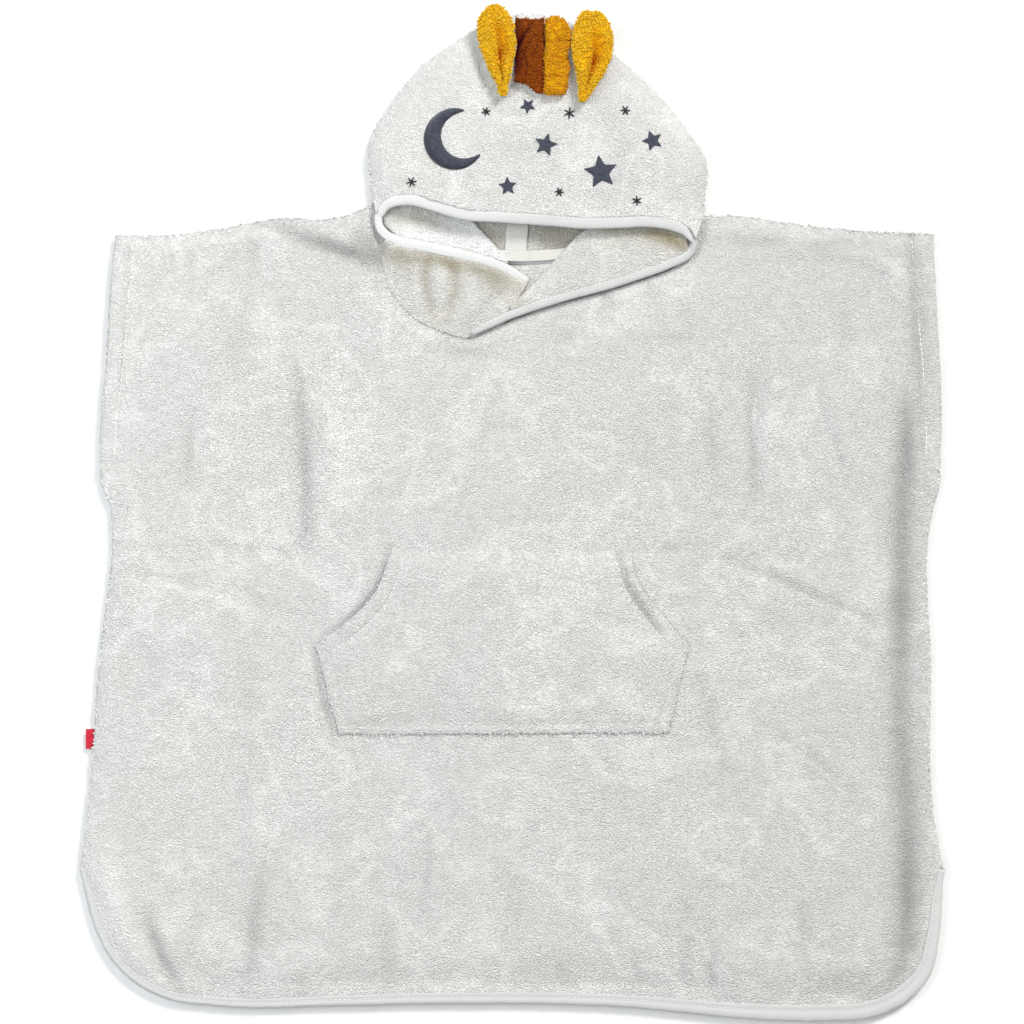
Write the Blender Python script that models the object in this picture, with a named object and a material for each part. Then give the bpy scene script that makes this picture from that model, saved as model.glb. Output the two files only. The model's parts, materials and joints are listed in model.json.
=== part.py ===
"""Toddler's hooded bath poncho of terry cloth, laid flat with its hood up above the shoulders.

Metres, +Z up. The origin is under the middle of the cloth, on the surface it lies on. +Y runs from the
hem to the hood and +X to the right of the front, which faces up. Every cloth piece is a closed wall.
"""

import math
from collections import namedtuple

import bmesh
import bpy
from mathutils import Vector

# ---------------------------------------------------------------- driving sizes

SEAM = 0.0003  # gap between two pieces at a seam
WALL = 0.0028  # one layer of terry with its loops
TAPE = 0.0008  # woven tape and sewn-on motifs
VENT_Y = -0.250  # top of the side vents
HEM_BINDING_END = 0.0020  # width of the hem tape's turned end at a vent
HEM_STEPS = 76  # steps round the whole hem
HEM_END_STEPS = 2  # steps over which the tape narrows to its end
HEM_CORNER = 10  # steps from a vent to the middle of the rounded corner
HALF_NECK_STEPS = 8  # steps along half a neckline
SHOULDER_STEPS = (7, 5)  # steps along the left and the right shoulder
SIDE_STEPS = (8, 2, 8)  # steps along the side seam, the underarm and the sleeve edge
BINDING_EXTRA = 0.0003  # how much thicker the hem tape is than the panel, on each side
VENT_EASE = 0.04  # distance above the vents over which that gap opens
VENT_LIFT = 3 * BINDING_EXTRA  # extra gap between front and back at the hem, for their tapes
FRONT_LOFT = 0.0016  # how far the front stands off the back away from its edges
FRONT_EASE = 0.035  # distance from an edge over which it rises to that
POCKET_GAP = 0.0007  # pocket cloth over the front's pile
POCKET_LOFT = 0.0018  # how far the empty pouch stands off the front
POCKET_EASE = 0.022
HOOD_RIM = 0.0052  # mid-height of the face panel at its outline
HOOD_RISE = 0.0125  # how much higher its middle is
HOOD_FALL = 0.013  # distance from the outline over which it falls
FLAP_BULGE = 0.0014  # how far the left throat flap bellies out
FLAP_SWELL = 0.0010  # the same for the right one, which lies turned back
FLAP_DROP = 0.0020  # how far the right one sinks from its lip to its fold
FLAP_DROP_START = 2.5  # how soon along the lip it sinks that far
FLAP_LEFT_END = -0.006  # x of the left one's end at the throat
FLAP_LEFT_TOP = 0.194  # y of its end at the mouth corner
FLAP_RIGHT_ENDS = (-0.001, 0.118)  # x of the right one's ends along the lip
FLAP_RIGHT_WALL = 0.0024
PLEAT_RIGHT_ENDS = (0.017, 0.116)  # x of the ends of the layers folded away under it
PLEAT_RIGHT_TOP = 0.176  # y of their end at the mouth corner
PLEAT_RIGHT_INSET = 0.0035  # how far they lie inside the flap's fold
FACE_ENDS = (-0.0915, 0.1265)  # x of the face panel's ends at the mouth corners
FACE_LOWEST = 0.199
FOLDED_TOP = 0.0070  # top of the layers that are folded away inside the hood
FOLDED_EDGE = (0.45, 0.85, 1.0)  # share of that height at the slab's edge, one step in and further
FOLDED_STEPS = 8
SEAM_TAPE_WIDTH = 0.016
EAR_LEVEL = 0.0206  # underside of the ears and the crest where they are sewn on the face panel
EAR_SEWN_Y = 0.288
EAR_REACH = 0.068  # from there to the ears' tips
EAR_DROOP = 0.0085  # how much lower the tips are
EAR_WALL = 0.0022
EAR_LEAF = (0.03, 0.985)  # stretch of the leaf curve that an ear uses, so that no end is a point
EAR_FULLEST = 1.25  # over 1 moves the ear's widest place towards its tip
EAR_ROUNDNESS = 0.72  # under 1 makes the leaf rounder
EAR_RELIEF = (0.0, 0.0012, -0.0006, 0.0012, 0.0)  # height across an ear's front: a shallow cup
CREST_ARCH = (0.55, 0.92, 1.0, 0.92, 0.55)  # share of a tab's height across it
CREST_END = 0.80  # share of a tab's length where its round end starts
CREST_END_WIDTH = 0.70  # share of the width and the height left at that end
CREST_END_HEIGHT = 0.55
LEAST_HORN = 0.0012  # width of the moon at its horns
STAR_WAIST = 0.46  # a star's inner radius as a share of its outer one
FINE = 12  # steps between two control points while a curve is measured
CUT_STEPS = 80  # steps of a curve that only a stretch is cut from
PACKING = 0.65  # how strongly uneven spacing packs points

BACK_TOP = WALL
FRONT_LOW = BACK_TOP + SEAM
FLAP_SEAM_LEVEL = FRONT_LOW + WALL / 2

# ---------------------------------------------------------------- outline tables

Level = namedtuple("Level", "y left right")
Hem = namedtuple("Hem", "x y tape")
Spot = namedtuple("Spot", "x y")
Lip = namedtuple("Lip", "x y z width height")
LIP_WIDTH, LIP_HEIGHT = 3, 4  # places of those sizes in a point made from a Lip
HEM_TAPE = 2  # place of the tape's width in a point made from a Hem
Crease = namedtuple("Crease", "x y length width turn height")
Ear = namedtuple("Ear", "name base_x base_y tip_x tip_y half_width")
Tab = namedtuple("Tab", "name colour left right bottom top thickness")
Star = namedtuple("Star", "x y radius turn")

SIDE_SEAM = (  # from the vents up to the underarms
    Level(-0.2500, -0.3019, 0.3019),
    Level(-0.2156, -0.2982, 0.2955),
    Level(-0.1785, -0.2943, 0.2927),
    Level(-0.1049, -0.2890, 0.2932),
    Level(-0.0497, -0.2822, 0.2906),
    Level(-0.0200, -0.2798, 0.2912),
    Level(0.0040, -0.2806, 0.2950),
)
UNDERARM = (  # the short step out to the sleeve edge
    Level(0.0040, -0.2806, 0.2950),
    Level(0.0168, -0.2867, 0.2989),
    Level(0.0364, -0.2888, 0.2999),
)
CUFF = (  # the open sleeve edge up to the shoulder
    Level(0.0364, -0.2888, 0.2999),
    Level(0.0717, -0.2872, 0.3006),
    Level(0.1036, -0.2842, 0.2996),
    Level(0.1442, -0.2821, 0.2970),
    Level(0.1940, -0.2777, 0.2950),
)
HEM = (  # outer edge and width of the hem tape, from the left vent round to the right one
    Hem(-0.3019, -0.2500, 0.0050),
    Hem(-0.2979, -0.2690, 0.0052),
    Hem(-0.2905, -0.2940, 0.0054),
    Hem(-0.2790, -0.3150, 0.0058),
    Hem(-0.2630, -0.3300, 0.0062),
    Hem(-0.2445, -0.3397, 0.0062),
    Hem(-0.2039, -0.3461, 0.0060),
    Hem(-0.1236, -0.3458, 0.0064),
    Hem(-0.0644, -0.3446, 0.0068),
    Hem(0.0756, -0.3465, 0.0074),
    Hem(0.1720, -0.3554, 0.0098),
    Hem(0.2202, -0.3565, 0.0106),
    Hem(0.2524, -0.3538, 0.0106),
    Hem(0.2765, -0.3426, 0.0104),
    Hem(0.2926, -0.3248, 0.0094),
    Hem(0.2990, -0.3000, 0.0080),
    Hem(0.3012, -0.2740, 0.0064),
    Hem(0.3019, -0.2500, 0.0056),
)
SHOULDER_LEFT = (
    Spot(-0.2777, 0.1940),
    Spot(-0.2394, 0.1939),
    Spot(-0.2037, 0.1988),
    Spot(-0.1638, 0.2058),
    Spot(-0.1239, 0.2062),
    Spot(-0.0995, 0.2145),
)
SHOULDER_RIGHT = (
    Spot(0.1362, 0.2093),
    Spot(0.1560, 0.2100),
    Spot(0.1881, 0.2059),
    Spot(0.2202, 0.2019),
    Spot(0.2459, 0.1995),
    Spot(0.2950, 0.1975),
)
FRONT_NECK = (
    Spot(-0.0995, 0.2145),
    Spot(-0.0975, 0.1950),
    Spot(-0.0930, 0.1720),
    Spot(-0.0835, 0.1530),
    Spot(-0.0665, 0.1358),
    Spot(-0.0504, 0.1281),
    Spot(-0.0290, 0.1232),
    Spot(0.0000, 0.1305),
    Spot(0.0300, 0.1430),
    Spot(0.0860, 0.1630),
    Spot(0.1180, 0.1760),
    Spot(0.1310, 0.1880),
    Spot(0.1362, 0.2093),
)
BACK_NECK = (
    Spot(-0.0995, 0.2145),
    Spot(-0.0880, 0.1980),
    Spot(-0.0600, 0.1850),
    Spot(-0.0300, 0.1785),
    Spot(0.0020, 0.1760),
    Spot(0.0400, 0.1780),
    Spot(0.0800, 0.1840),
    Spot(0.1150, 0.1940),
    Spot(0.1362, 0.2093),
)
BACK_NECK_MIDDLE = 4  # row of BACK_NECK on the centre-back seam
POCKET_SIDE_LEFT = (Spot(-0.1211, -0.1561), Spot(-0.1380, -0.0931))
POCKET_SIDE_RIGHT = (Spot(0.1099, -0.1547), Spot(0.1242, -0.0935))
POCKET_MOUTH_LEFT = (
    Spot(-0.1380, -0.0931),
    Spot(-0.1113, -0.0735),
    Spot(-0.0966, -0.0574),
    Spot(-0.0833, -0.0238),
)
POCKET_MOUTH_RIGHT = (
    Spot(0.1242, -0.0935),
    Spot(0.1036, -0.0700),
    Spot(0.0896, -0.0511),
    Spot(0.0819, -0.0245),
)
HOOD_LEFT = (  # outline of the laid hood, from the left mouth corner up
    Spot(-0.0976, 0.2190),
    Spot(-0.0988, 0.2364),
    Spot(-0.1003, 0.2501),
    Spot(-0.0956, 0.2668),
    Spot(-0.0819, 0.2894),
    Spot(-0.0642, 0.3115),
)
HOOD_TOP = (
    Spot(-0.0642, 0.3115),
    Spot(-0.0435, 0.3262),
    Spot(-0.0100, 0.3440),
    Spot(0.0160, 0.3485),
    Spot(0.0400, 0.3425),
    Spot(0.0600, 0.3300),
    Spot(0.0810, 0.3105),
)
HOOD_TOP_MIDDLE = 3  # row of HOOD_TOP on the centre-back seam
HOOD_RIGHT = (
    Spot(0.1335, 0.2040),
    Spot(0.1345, 0.2167),
    Spot(0.1353, 0.2452),
    Spot(0.1222, 0.2668),
    Spot(0.1026, 0.2904),
    Spot(0.0810, 0.3105),
)
LOWER_LIP_LEFT = (  # mouth binding, from its left end at the throat out to the left corner
    Lip(0.0100, 0.1598, 0.0054, 0.0060, 0.0032),
    Lip(0.0015, 0.1660, 0.0066, 0.0074, 0.0042),
    Lip(-0.0130, 0.1725, 0.0088, 0.0080, 0.0048),
    Lip(-0.0300, 0.1776, 0.0106, 0.0082, 0.0050),
    Lip(-0.0540, 0.1823, 0.0116, 0.0082, 0.0050),
    Lip(-0.0790, 0.1893, 0.0112, 0.0080, 0.0050),
    Lip(-0.0905, 0.1970, 0.0104, 0.0076, 0.0048),
    Lip(-0.0938, 0.2065, 0.0102, 0.0074, 0.0048),
)
UPPER_LIP = (  # on round both corners and along the face panel
    Lip(-0.0938, 0.2065, 0.0102, 0.0074, 0.0048),
    Lip(-0.0880, 0.2143, 0.0122, 0.0078, 0.0048),
    Lip(-0.0714, 0.2182, 0.0158, 0.0084, 0.0048),
    Lip(-0.0555, 0.2142, 0.0167, 0.0084, 0.0048),
    Lip(-0.0350, 0.2080, 0.0173, 0.0084, 0.0048),
    Lip(-0.0090, 0.2060, 0.0177, 0.0084, 0.0048),
    Lip(0.0220, 0.2038, 0.0177, 0.0084, 0.0048),
    Lip(0.0525, 0.2016, 0.0177, 0.0084, 0.0048),
    Lip(0.0740, 0.2020, 0.0174, 0.0084, 0.0048),
    Lip(0.0970, 0.2027, 0.0165, 0.0084, 0.0048),
    Lip(0.1130, 0.2000, 0.0148, 0.0082, 0.0048),
    Lip(0.1235, 0.1945, 0.0130, 0.0070, 0.0046),
    Lip(0.1275, 0.1880, 0.0116, 0.0062, 0.0046),
)
LOWER_LIP_RIGHT = (  # back along the neck seam to the right end, which crosses over the left one
    Lip(0.1275, 0.1880, 0.0116, 0.0062, 0.0046),
    Lip(0.1225, 0.1810, 0.0108, 0.0056, 0.0048),
    Lip(0.0861, 0.1655, 0.0107, 0.0050, 0.0052),
    Lip(0.0546, 0.1554, 0.0107, 0.0050, 0.0052),
    Lip(0.0224, 0.1421, 0.0107, 0.0050, 0.0052),
    Lip(-0.0021, 0.1333, 0.0106, 0.0050, 0.0050),
    Lip(-0.0280, 0.1245, 0.0094, 0.0046, 0.0044),
)
THROAT_FOLD_RIGHT = (  # where the right throat flap turns back on itself inside the hood
    Spot(-0.0010, 0.1430),
    Spot(0.0126, 0.1568),
    Spot(0.0315, 0.1778),
    Spot(0.0520, 0.1985),
    Spot(0.0650, 0.2060),
    Spot(0.0900, 0.2070),
    Spot(0.1120, 0.1990),
)
INNER_FOLD_LEFT = (  # edge of the layers folded inside the left of the hood
    Spot(-0.0060, 0.1812),
    Spot(-0.0259, 0.2030),
    Spot(-0.0400, 0.2280),
    Spot(-0.0600, 0.2640),
)
INNER_FOLD_LOW = (Spot(-0.0820, 0.2000), Spot(-0.0540, 0.1885), Spot(-0.0060, 0.1812))
INNER_FOLD_HIGH = (Spot(-0.0780, 0.2700), Spot(-0.0600, 0.2640))
INNER_FOLD_OUTER = (Spot(-0.0820, 0.2000), Spot(-0.0880, 0.2400), Spot(-0.0780, 0.2700))

FRONT_CREASES = (  # soft troughs (height below 0) and ridges of the front, turn in degrees from +Y
    Crease(-0.145, 0.050, 0.060, 0.011, 2, -0.0016),
    Crease(-0.120, 0.045, 0.080, 0.020, 0, 0.0012),
    Crease(0.169, 0.055, 0.075, 0.012, -3, -0.0015),
    Crease(0.146, 0.060, 0.080, 0.018, -3, 0.0012),
    Crease(-0.245, 0.030, 0.060, 0.014, 4, -0.0010),
    Crease(0.235, 0.080, 0.080, 0.018, 14, 0.0012),
    Crease(0.262, -0.080, 0.110, 0.012, 2, -0.0015),
    Crease(0.235, -0.070, 0.120, 0.020, 2, 0.0014),
    Crease(-0.195, -0.045, 0.020, 0.095, 4, 0.0012),
    Crease(0.190, -0.055, 0.018, 0.090, -14, 0.0012),
    Crease(-0.150, 0.168, 0.030, 0.014, 66, -0.0012),
    Crease(-0.120, 0.150, 0.040, 0.020, 50, 0.0018),
    Crease(0.010, 0.095, 0.026, 0.110, 0, 0.0016),
    Crease(-0.180, -0.200, 0.090, 0.020, 8, 0.0012),
    Crease(0.130, -0.230, 0.070, 0.018, -8, 0.0010),
)
FLAP_PUCKERS = (  # gathers of the left throat flap: troughs and the ridges between them
    Crease(-0.0595, 0.152, 0.022, 0.0034, 3, -0.0014),
    Crease(-0.0390, 0.150, 0.024, 0.0036, -4, -0.0016),
    Crease(-0.0500, 0.154, 0.022, 0.0050, 0, 0.0012),
    Crease(-0.0230, 0.150, 0.020, 0.0080, -10, 0.0010),
    Crease(-0.0760, 0.162, 0.018, 0.0070, 12, 0.0008),
)

EARS = (
    Ear("left", -0.0090, 0.2900, -0.0140, 0.3565, 0.0132),
    Ear("right", 0.0525, 0.2870, 0.0580, 0.3530, 0.0135),
)
EAR_BACK_SHIFT = Vector((-0.0022, -0.0010))  # how far the white back shows past the front
EAR_BACK_GROWTH = 0.0008
CREST = (
    Tab("brown", "brown", 0.0026, 0.0208, 0.2950, 0.3490, 0.0050),
    Tab("yellow", "mustard", 0.0214, 0.0384, 0.2930, 0.3470, 0.0060),
)
MOON_CENTRE = Spot(-0.0400, 0.2600)
MOON_RADIUS = 0.0215
MOON_OPENING = 52  # degrees from its middle line to each horn
MOON_WIDTH = 0.0125  # at its middle
MOON_TURN = 200  # degrees from +X to its middle
MOON_FULLNESS = 0.8  # under 1 keeps it wide nearer to its horns
STARS = (
    Star(0.0620, 0.2370, 0.0125, 8),
    Star(0.0235, 0.2560, 0.0085, -14),
    Star(0.0980, 0.2590, 0.0078, 20),
    Star(-0.0030, 0.2270, 0.0068, 4),
    Star(0.0110, 0.2830, 0.0058, 30),
)
LABEL_Y = (-0.1660, -0.1520)
LABEL_REACH = 0.0055
LABEL_THICKNESS = 0.0012

COLOURS = {  # name: (linear colour, roughness)
    "terry_white": ((0.80, 0.80, 0.77), 0.95),
    "binding_white": ((0.86, 0.86, 0.85), 0.70),
    "mustard": ((0.80, 0.40, 0.03), 0.95),
    "brown": ((0.25, 0.06, 0.01), 0.95),
    "slate": ((0.05, 0.06, 0.08), 0.80),
    "tape": ((0.78, 0.78, 0.74), 0.80),
    "label_red": ((0.70, 0.05, 0.08), 0.60),
}

# ---------------------------------------------------------------- curves and grids


def joined(*paths):
    """One path from several that meet end to end."""
    whole = list(paths[0])
    for path in paths[1:]:
        whole += path[1:]
    return whole


def evenly_spaced(path, steps, spacing=None):
    """Points along a path at equal steps, or at the fractions of its length that spacing gives."""
    reach = [0.0]
    for start, stop in zip(path, path[1:]):
        reach.append(reach[-1] + (stop - start).length)
    found = []
    span = 0
    for step in range(steps + 1):
        share = step / steps
        wanted = reach[-1] * (spacing(share) if spacing else share)
        while span < len(path) - 2 and reach[span + 1] < wanted:
            span += 1
        part = (wanted - reach[span]) / max(reach[span + 1] - reach[span], 1e-12)
        found.append(path[span].lerp(path[span + 1], min(max(part, 0.0), 1.0)))
    return found


def smooth_curve(spots, steps, spacing=None):
    """Points along the smooth curve through some spots, both ends included."""
    knots = [Vector(spot) for spot in spots]
    if len(knots) == 2:
        return evenly_spaced(knots, steps, spacing)
    gaps = [(stop - start).length for start, stop in zip(knots, knots[1:])]
    slopes = [(stop - start) / gap for start, stop, gap in zip(knots, knots[1:], gaps)]
    tangents = [slopes[0]]
    for i in range(1, len(knots) - 1):
        mixed = slopes[i - 1] * gaps[i] + slopes[i] * gaps[i - 1]
        tangents.append(mixed / (gaps[i - 1] + gaps[i]))
    tangents.append(slopes[-1])
    dense = []
    for i, gap in enumerate(gaps):
        for step in range(FINE):
            t = step / FINE
            dense.append(
                knots[i] * (2 * t**3 - 3 * t**2 + 1)
                + tangents[i] * gap * (t**3 - 2 * t**2 + t)
                + knots[i + 1] * (3 * t**2 - 2 * t**3)
                + tangents[i + 1] * gap * (t**3 - t**2)
            )
    dense.append(knots[-1])
    return evenly_spaced(dense, steps, spacing)


def sideways(path, index):
    """Unit vector in plan, square to a path and to its left."""
    ahead = path[min(index + 1, len(path) - 1)] - path[max(index - 1, 0)]
    return Vector((-ahead.y, ahead.x)).normalized()


def moved_left(path, distance):
    """A plan path moved to its left by a distance, or by a distance for each of its points."""
    reach = distance if isinstance(distance, list) else [distance] * len(path)
    return [point + sideways(path, i) * reach[i] for i, point in enumerate(path)]


def filled(bottom, top, left, right):
    """Grid of plan points that fills four edge curves, rows from bottom to top."""
    grid = []
    for row, (start, stop) in enumerate(zip(left, right)):
        v = row / (len(left) - 1)
        line = []
        for column, (low, high) in enumerate(zip(bottom, top)):
            u = column / (len(bottom) - 1)
            corners = bottom[0].lerp(bottom[-1], u).lerp(top[0].lerp(top[-1], u), v)
            line.append(low.lerp(high, v) + start.lerp(stop, u) - corners)
        grid.append(line)
    return grid


def at_height(grid, height):
    """The grid's points lifted to a height, or to a height function of the plan point."""
    height_of = height if callable(height) else lambda point: height
    return [[Vector((point.x, point.y, height_of(point))) for point in row] for row in grid]


def along_normals(grid, distance):
    """The grid moved along its normals, and straight up in its first row, which lies on a seam."""
    moved = []
    for r, row in enumerate(grid):
        before, after = grid[max(r - 1, 0)], grid[min(r + 1, len(grid) - 1)]
        line = []
        for c, point in enumerate(row):
            across = row[min(c + 1, len(row) - 1)] - row[max(c - 1, 0)]
            normal = across.cross(after[c] - before[c]).normalized() if r else Vector((0, 0, 1))
            line.append(point + normal * distance)
        moved.append(line)
    return moved


def distance_to(point, path):
    """Shortest plan distance from a point to a path."""
    best = math.inf
    for start, stop in zip(path, path[1:]):
        along = stop - start
        share = (point - start).dot(along) / max(along.length_squared, 1e-18)
        best = min(best, (start + along * min(max(share, 0.0), 1.0) - point).length)
    return best


def eased(value):
    """0 up to 0, 1 from 1 on, and smooth between."""
    value = min(max(value, 0.0), 1.0)
    return value * value * (3 - 2 * value)


def crease_height(point, creases):
    total = 0.0
    for crease in creases:
        turn = math.radians(crease.turn)
        away = point - Vector((crease.x, crease.y))
        along = away.x * math.sin(turn) + away.y * math.cos(turn)
        across = away.x * math.cos(turn) - away.y * math.sin(turn)
        total += crease.height * math.exp(
            -((along / crease.length) ** 2) - (across / crease.width) ** 2
        )
    return total


def towards_ends(share):
    """Spacing that packs points near both ends."""
    return (1 - PACKING) * share + PACKING * (1 - math.cos(math.pi * share)) / 2


def towards_last(share):
    """Spacing that packs points near the last end."""
    return (1 - PACKING) * share + PACKING * math.sin(math.pi / 2 * share)


def straight(start, stop, steps):
    return evenly_spaced([start, stop], steps)


def loop_of(edges):
    """The closed outline of bottom, top, left and right edges."""
    bottom, top, left, right = edges
    return bottom + right[1:] + list(reversed(top))[1:] + list(reversed(left))[1:]


# ---------------------------------------------------------------- solids


def material(name):
    found = bpy.data.materials.get(name)
    if found:
        return found
    colour, roughness = COLOURS[name]
    made = bpy.data.materials.new(name)
    made.use_nodes = True
    shader = made.node_tree.nodes["Principled BSDF"]
    shader.inputs["Base Color"].default_value = (*colour, 1)
    shader.inputs["Roughness"].default_value = roughness
    made.diffuse_color = (*colour, 1)
    return made


def placed(name, bm, colour):
    """The finished solid, with its faces outwards, as an object under the poncho's empty."""
    bmesh.ops.recalc_face_normals(bm, faces=bm.faces)
    if bm.calc_volume(signed=True) < 0:
        bmesh.ops.reverse_faces(bm, faces=bm.faces)
    mesh = bpy.data.meshes.new(name)
    bm.to_mesh(mesh)
    bm.free()
    mesh.materials.append(material(colour))
    mesh.shade_smooth()
    mesh.set_sharp_from_angle(angle=math.radians(40))
    obj = bpy.data.objects.new(name, mesh)
    obj.parent = bpy.data.objects["poncho"]
    bpy.context.scene.collection.objects.link(obj)
    return obj


def rim_of(verts):
    """The outer loop of a grid of vertices, counter-clockwise."""
    right = [row[-1] for row in verts[1:]]
    left = [row[0] for row in reversed(verts[1:-1])]
    return verts[0] + right + list(reversed(verts[-1][:-1])) + left


def wall(name, lower, upper, colour):
    """Closed wall between two grids that have the same rows and columns."""
    bm = bmesh.new()
    low = [[bm.verts.new(point) for point in row] for row in lower]
    high = [[bm.verts.new(point) for point in row] for row in upper]
    for verts in (low, high):
        for row, above in zip(verts, verts[1:]):
            for i in range(len(row) - 1):
                bm.faces.new((row[i], row[i + 1], above[i + 1], above[i]))
    low_rim, high_rim = rim_of(low), rim_of(high)
    for i in range(len(low_rim)):
        j = (i + 1) % len(low_rim)
        bm.faces.new((low_rim[i], low_rim[j], high_rim[j], high_rim[i]))
    return placed(name, bm, colour)


def tube(name, rings, colour):
    """Closed tube through rings of points, with flat ends."""
    bm = bmesh.new()
    loops = [[bm.verts.new(point) for point in ring] for ring in rings]
    for loop, after in zip(loops, loops[1:]):
        for i in range(len(loop)):
            j = (i + 1) % len(loop)
            bm.faces.new((loop[i], loop[j], after[j], after[i]))
    bm.faces.new(loops[0])
    bm.faces.new(loops[-1])
    return placed(name, bm, colour)


def patch(name, outline, height_of, thickness, colour):
    """Thin sewn-on solid, made from the surface under it: its middle, a ring and its outline."""
    middle = sum(outline, Vector((0, 0))) / len(outline)
    rings = [[middle.lerp(point, share) for point in outline] for share in (0.5, 1.0)]
    bm = bmesh.new()
    levels = []
    for extra in (0.0, thickness):
        centre = bm.verts.new((*middle, height_of(middle) + extra))
        loops = [
            [bm.verts.new((*point, height_of(point) + extra)) for point in ring] for ring in rings
        ]
        levels.append(loops[1])
        for i in range(len(outline)):
            j = (i + 1) % len(outline)
            bm.faces.new((centre, loops[0][i], loops[0][j]))
            bm.faces.new((loops[0][i], loops[1][i], loops[1][j], loops[0][j]))
    for i in range(len(outline)):
        j = (i + 1) % len(outline)
        bm.faces.new((levels[0][i], levels[0][j], levels[1][j], levels[1][i]))
    return placed(name, bm, colour)


# ---------------------------------------------------------------- body outline


def side(levels, edge, steps):
    """The left or right edge of the body along one stretch of its sides."""
    return smooth_curve([(getattr(level, edge), level.y) for level in levels], steps)


def hem_outer():
    return [point.xy for point in smooth_curve(HEM, HEM_STEPS)]


def hem_inner(gap=0.0):
    """Inner edge of the hem tape, which is narrow at its turned ends, or a line past it by a gap."""
    widths = []
    for step, point in enumerate(smooth_curve(HEM, HEM_STEPS)):
        share = min(min(step, HEM_STEPS - step) / HEM_END_STEPS, 1.0)
        widths.append(HEM_BINDING_END + (point[HEM_TAPE] - HEM_BINDING_END) * share + gap)
    return moved_left(hem_outer(), widths)


FRONT_NECK_EDGE = smooth_curve(FRONT_NECK, 2 * HALF_NECK_STEPS)
BACK_NECK_LEFT = smooth_curve(BACK_NECK[: BACK_NECK_MIDDLE + 1], HALF_NECK_STEPS)
BACK_NECK_RIGHT = smooth_curve(BACK_NECK[BACK_NECK_MIDDLE:], HALF_NECK_STEPS)


def body_edges(neck):
    """Bottom, top, left and right edges of a body panel, without its hem tape."""
    hem = hem_inner(SEAM)
    bottom = hem[HEM_CORNER : HEM_STEPS - HEM_CORNER + 1 : 2]
    left_hem = list(reversed(hem[: HEM_CORNER + 1 : 2]))
    right_hem = hem[HEM_STEPS - HEM_CORNER :: 2]
    edges = []
    for hem_part, edge in ((left_hem, "left"), (right_hem, "right")):
        seam = [point for point in side(SIDE_SEAM, edge, CUT_STEPS) if point.y > VENT_Y + SEAM]
        seam = evenly_spaced(seam, SIDE_STEPS[0])
        underarm = side(UNDERARM, edge, SIDE_STEPS[1])
        edges.append(joined(hem_part + seam, underarm, side(CUFF, edge, SIDE_STEPS[2])))
    left_shoulder = smooth_curve(SHOULDER_LEFT, SHOULDER_STEPS[0])
    top = joined(left_shoulder, neck, smooth_curve(SHOULDER_RIGHT, SHOULDER_STEPS[1]))
    return bottom, top, edges[0], edges[1]


FRONT_EDGES = body_edges(FRONT_NECK_EDGE)
FRONT_LOOP = loop_of(FRONT_EDGES)


def front_under(point):
    """Underside of the front panel: off the back by its loft and creases, and down at its edges."""
    ease = eased(distance_to(point, FRONT_LOOP) / FRONT_EASE)
    lift = max(FRONT_LOFT + crease_height(point, FRONT_CREASES), 0.0) * ease
    return FRONT_LOW + lift + VENT_LIFT * eased((VENT_Y + VENT_EASE - point.y) / VENT_EASE)


def make_body():
    back = filled(*body_edges(joined(BACK_NECK_LEFT, BACK_NECK_RIGHT)))
    wall("back_panel", at_height(back, 0.0), at_height(back, BACK_TOP), "terry_white")
    front = filled(*FRONT_EDGES)
    wall(
        "front_panel",
        at_height(front, front_under),
        at_height(front, lambda point: front_under(point) + WALL),
        "terry_white",
    )


HEM_SECTION = (  # share of the tape's width from its inner edge, share of its height
    (0.00, 0.08),
    (0.75, 0.00),
    (1.00, 0.28),
    (1.00, 0.72),
    (0.75, 1.00),
    (0.00, 0.92),
)


def make_hem_binding(name, low):
    """Tape folded over the hem edge, standing off the panel a little above and below."""
    outer, inner = hem_outer(), hem_inner()
    thickness = WALL + 2 * BINDING_EXTRA
    rings = []
    for edge, start in zip(outer, inner):
        level = low(start)
        rings.append(
            [
                (*start.lerp(edge, across), level + up * thickness)
                for across, up in HEM_SECTION
            ]
        )
    tube(name, rings, "binding_white")


def pocket_under(point, loop):
    ease = eased(distance_to(point, loop) / POCKET_EASE)
    return front_under(point) + WALL + POCKET_GAP + POCKET_LOFT * ease


def make_pocket():
    columns, side_rows, mouth_rows = 14, 3, 7
    left = joined(
        smooth_curve(POCKET_SIDE_LEFT, side_rows), smooth_curve(POCKET_MOUTH_LEFT, mouth_rows)
    )
    right = joined(
        smooth_curve(POCKET_SIDE_RIGHT, side_rows), smooth_curve(POCKET_MOUTH_RIGHT, mouth_rows)
    )
    bottom = straight(left[0], right[0], columns)
    top = straight(left[-1], right[-1], columns)
    loop = loop_of((bottom, top, left, right))
    grid = filled(bottom, top, left, right)
    wall(
        "pocket",
        at_height(grid, lambda point: pocket_under(point, loop)),
        at_height(grid, lambda point: pocket_under(point, loop) + WALL),
        "terry_white",
    )


def make_label():
    """Bare ribbon tab that stands out from the left side seam."""
    level = FRONT_LOW - LABEL_THICKNESS / 2
    seam = side(SIDE_SEAM, "left", CUT_STEPS)
    inner = min(point.x for point in seam if LABEL_Y[0] < point.y < LABEL_Y[1]) - SEAM
    corners = [[Vector((x, y)) for x in (inner - LABEL_REACH, inner)] for y in LABEL_Y]
    wall(
        "side_label",
        at_height(corners, level),
        at_height(corners, level + LABEL_THICKNESS),
        "label_red",
    )


# ---------------------------------------------------------------- hood

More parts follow.
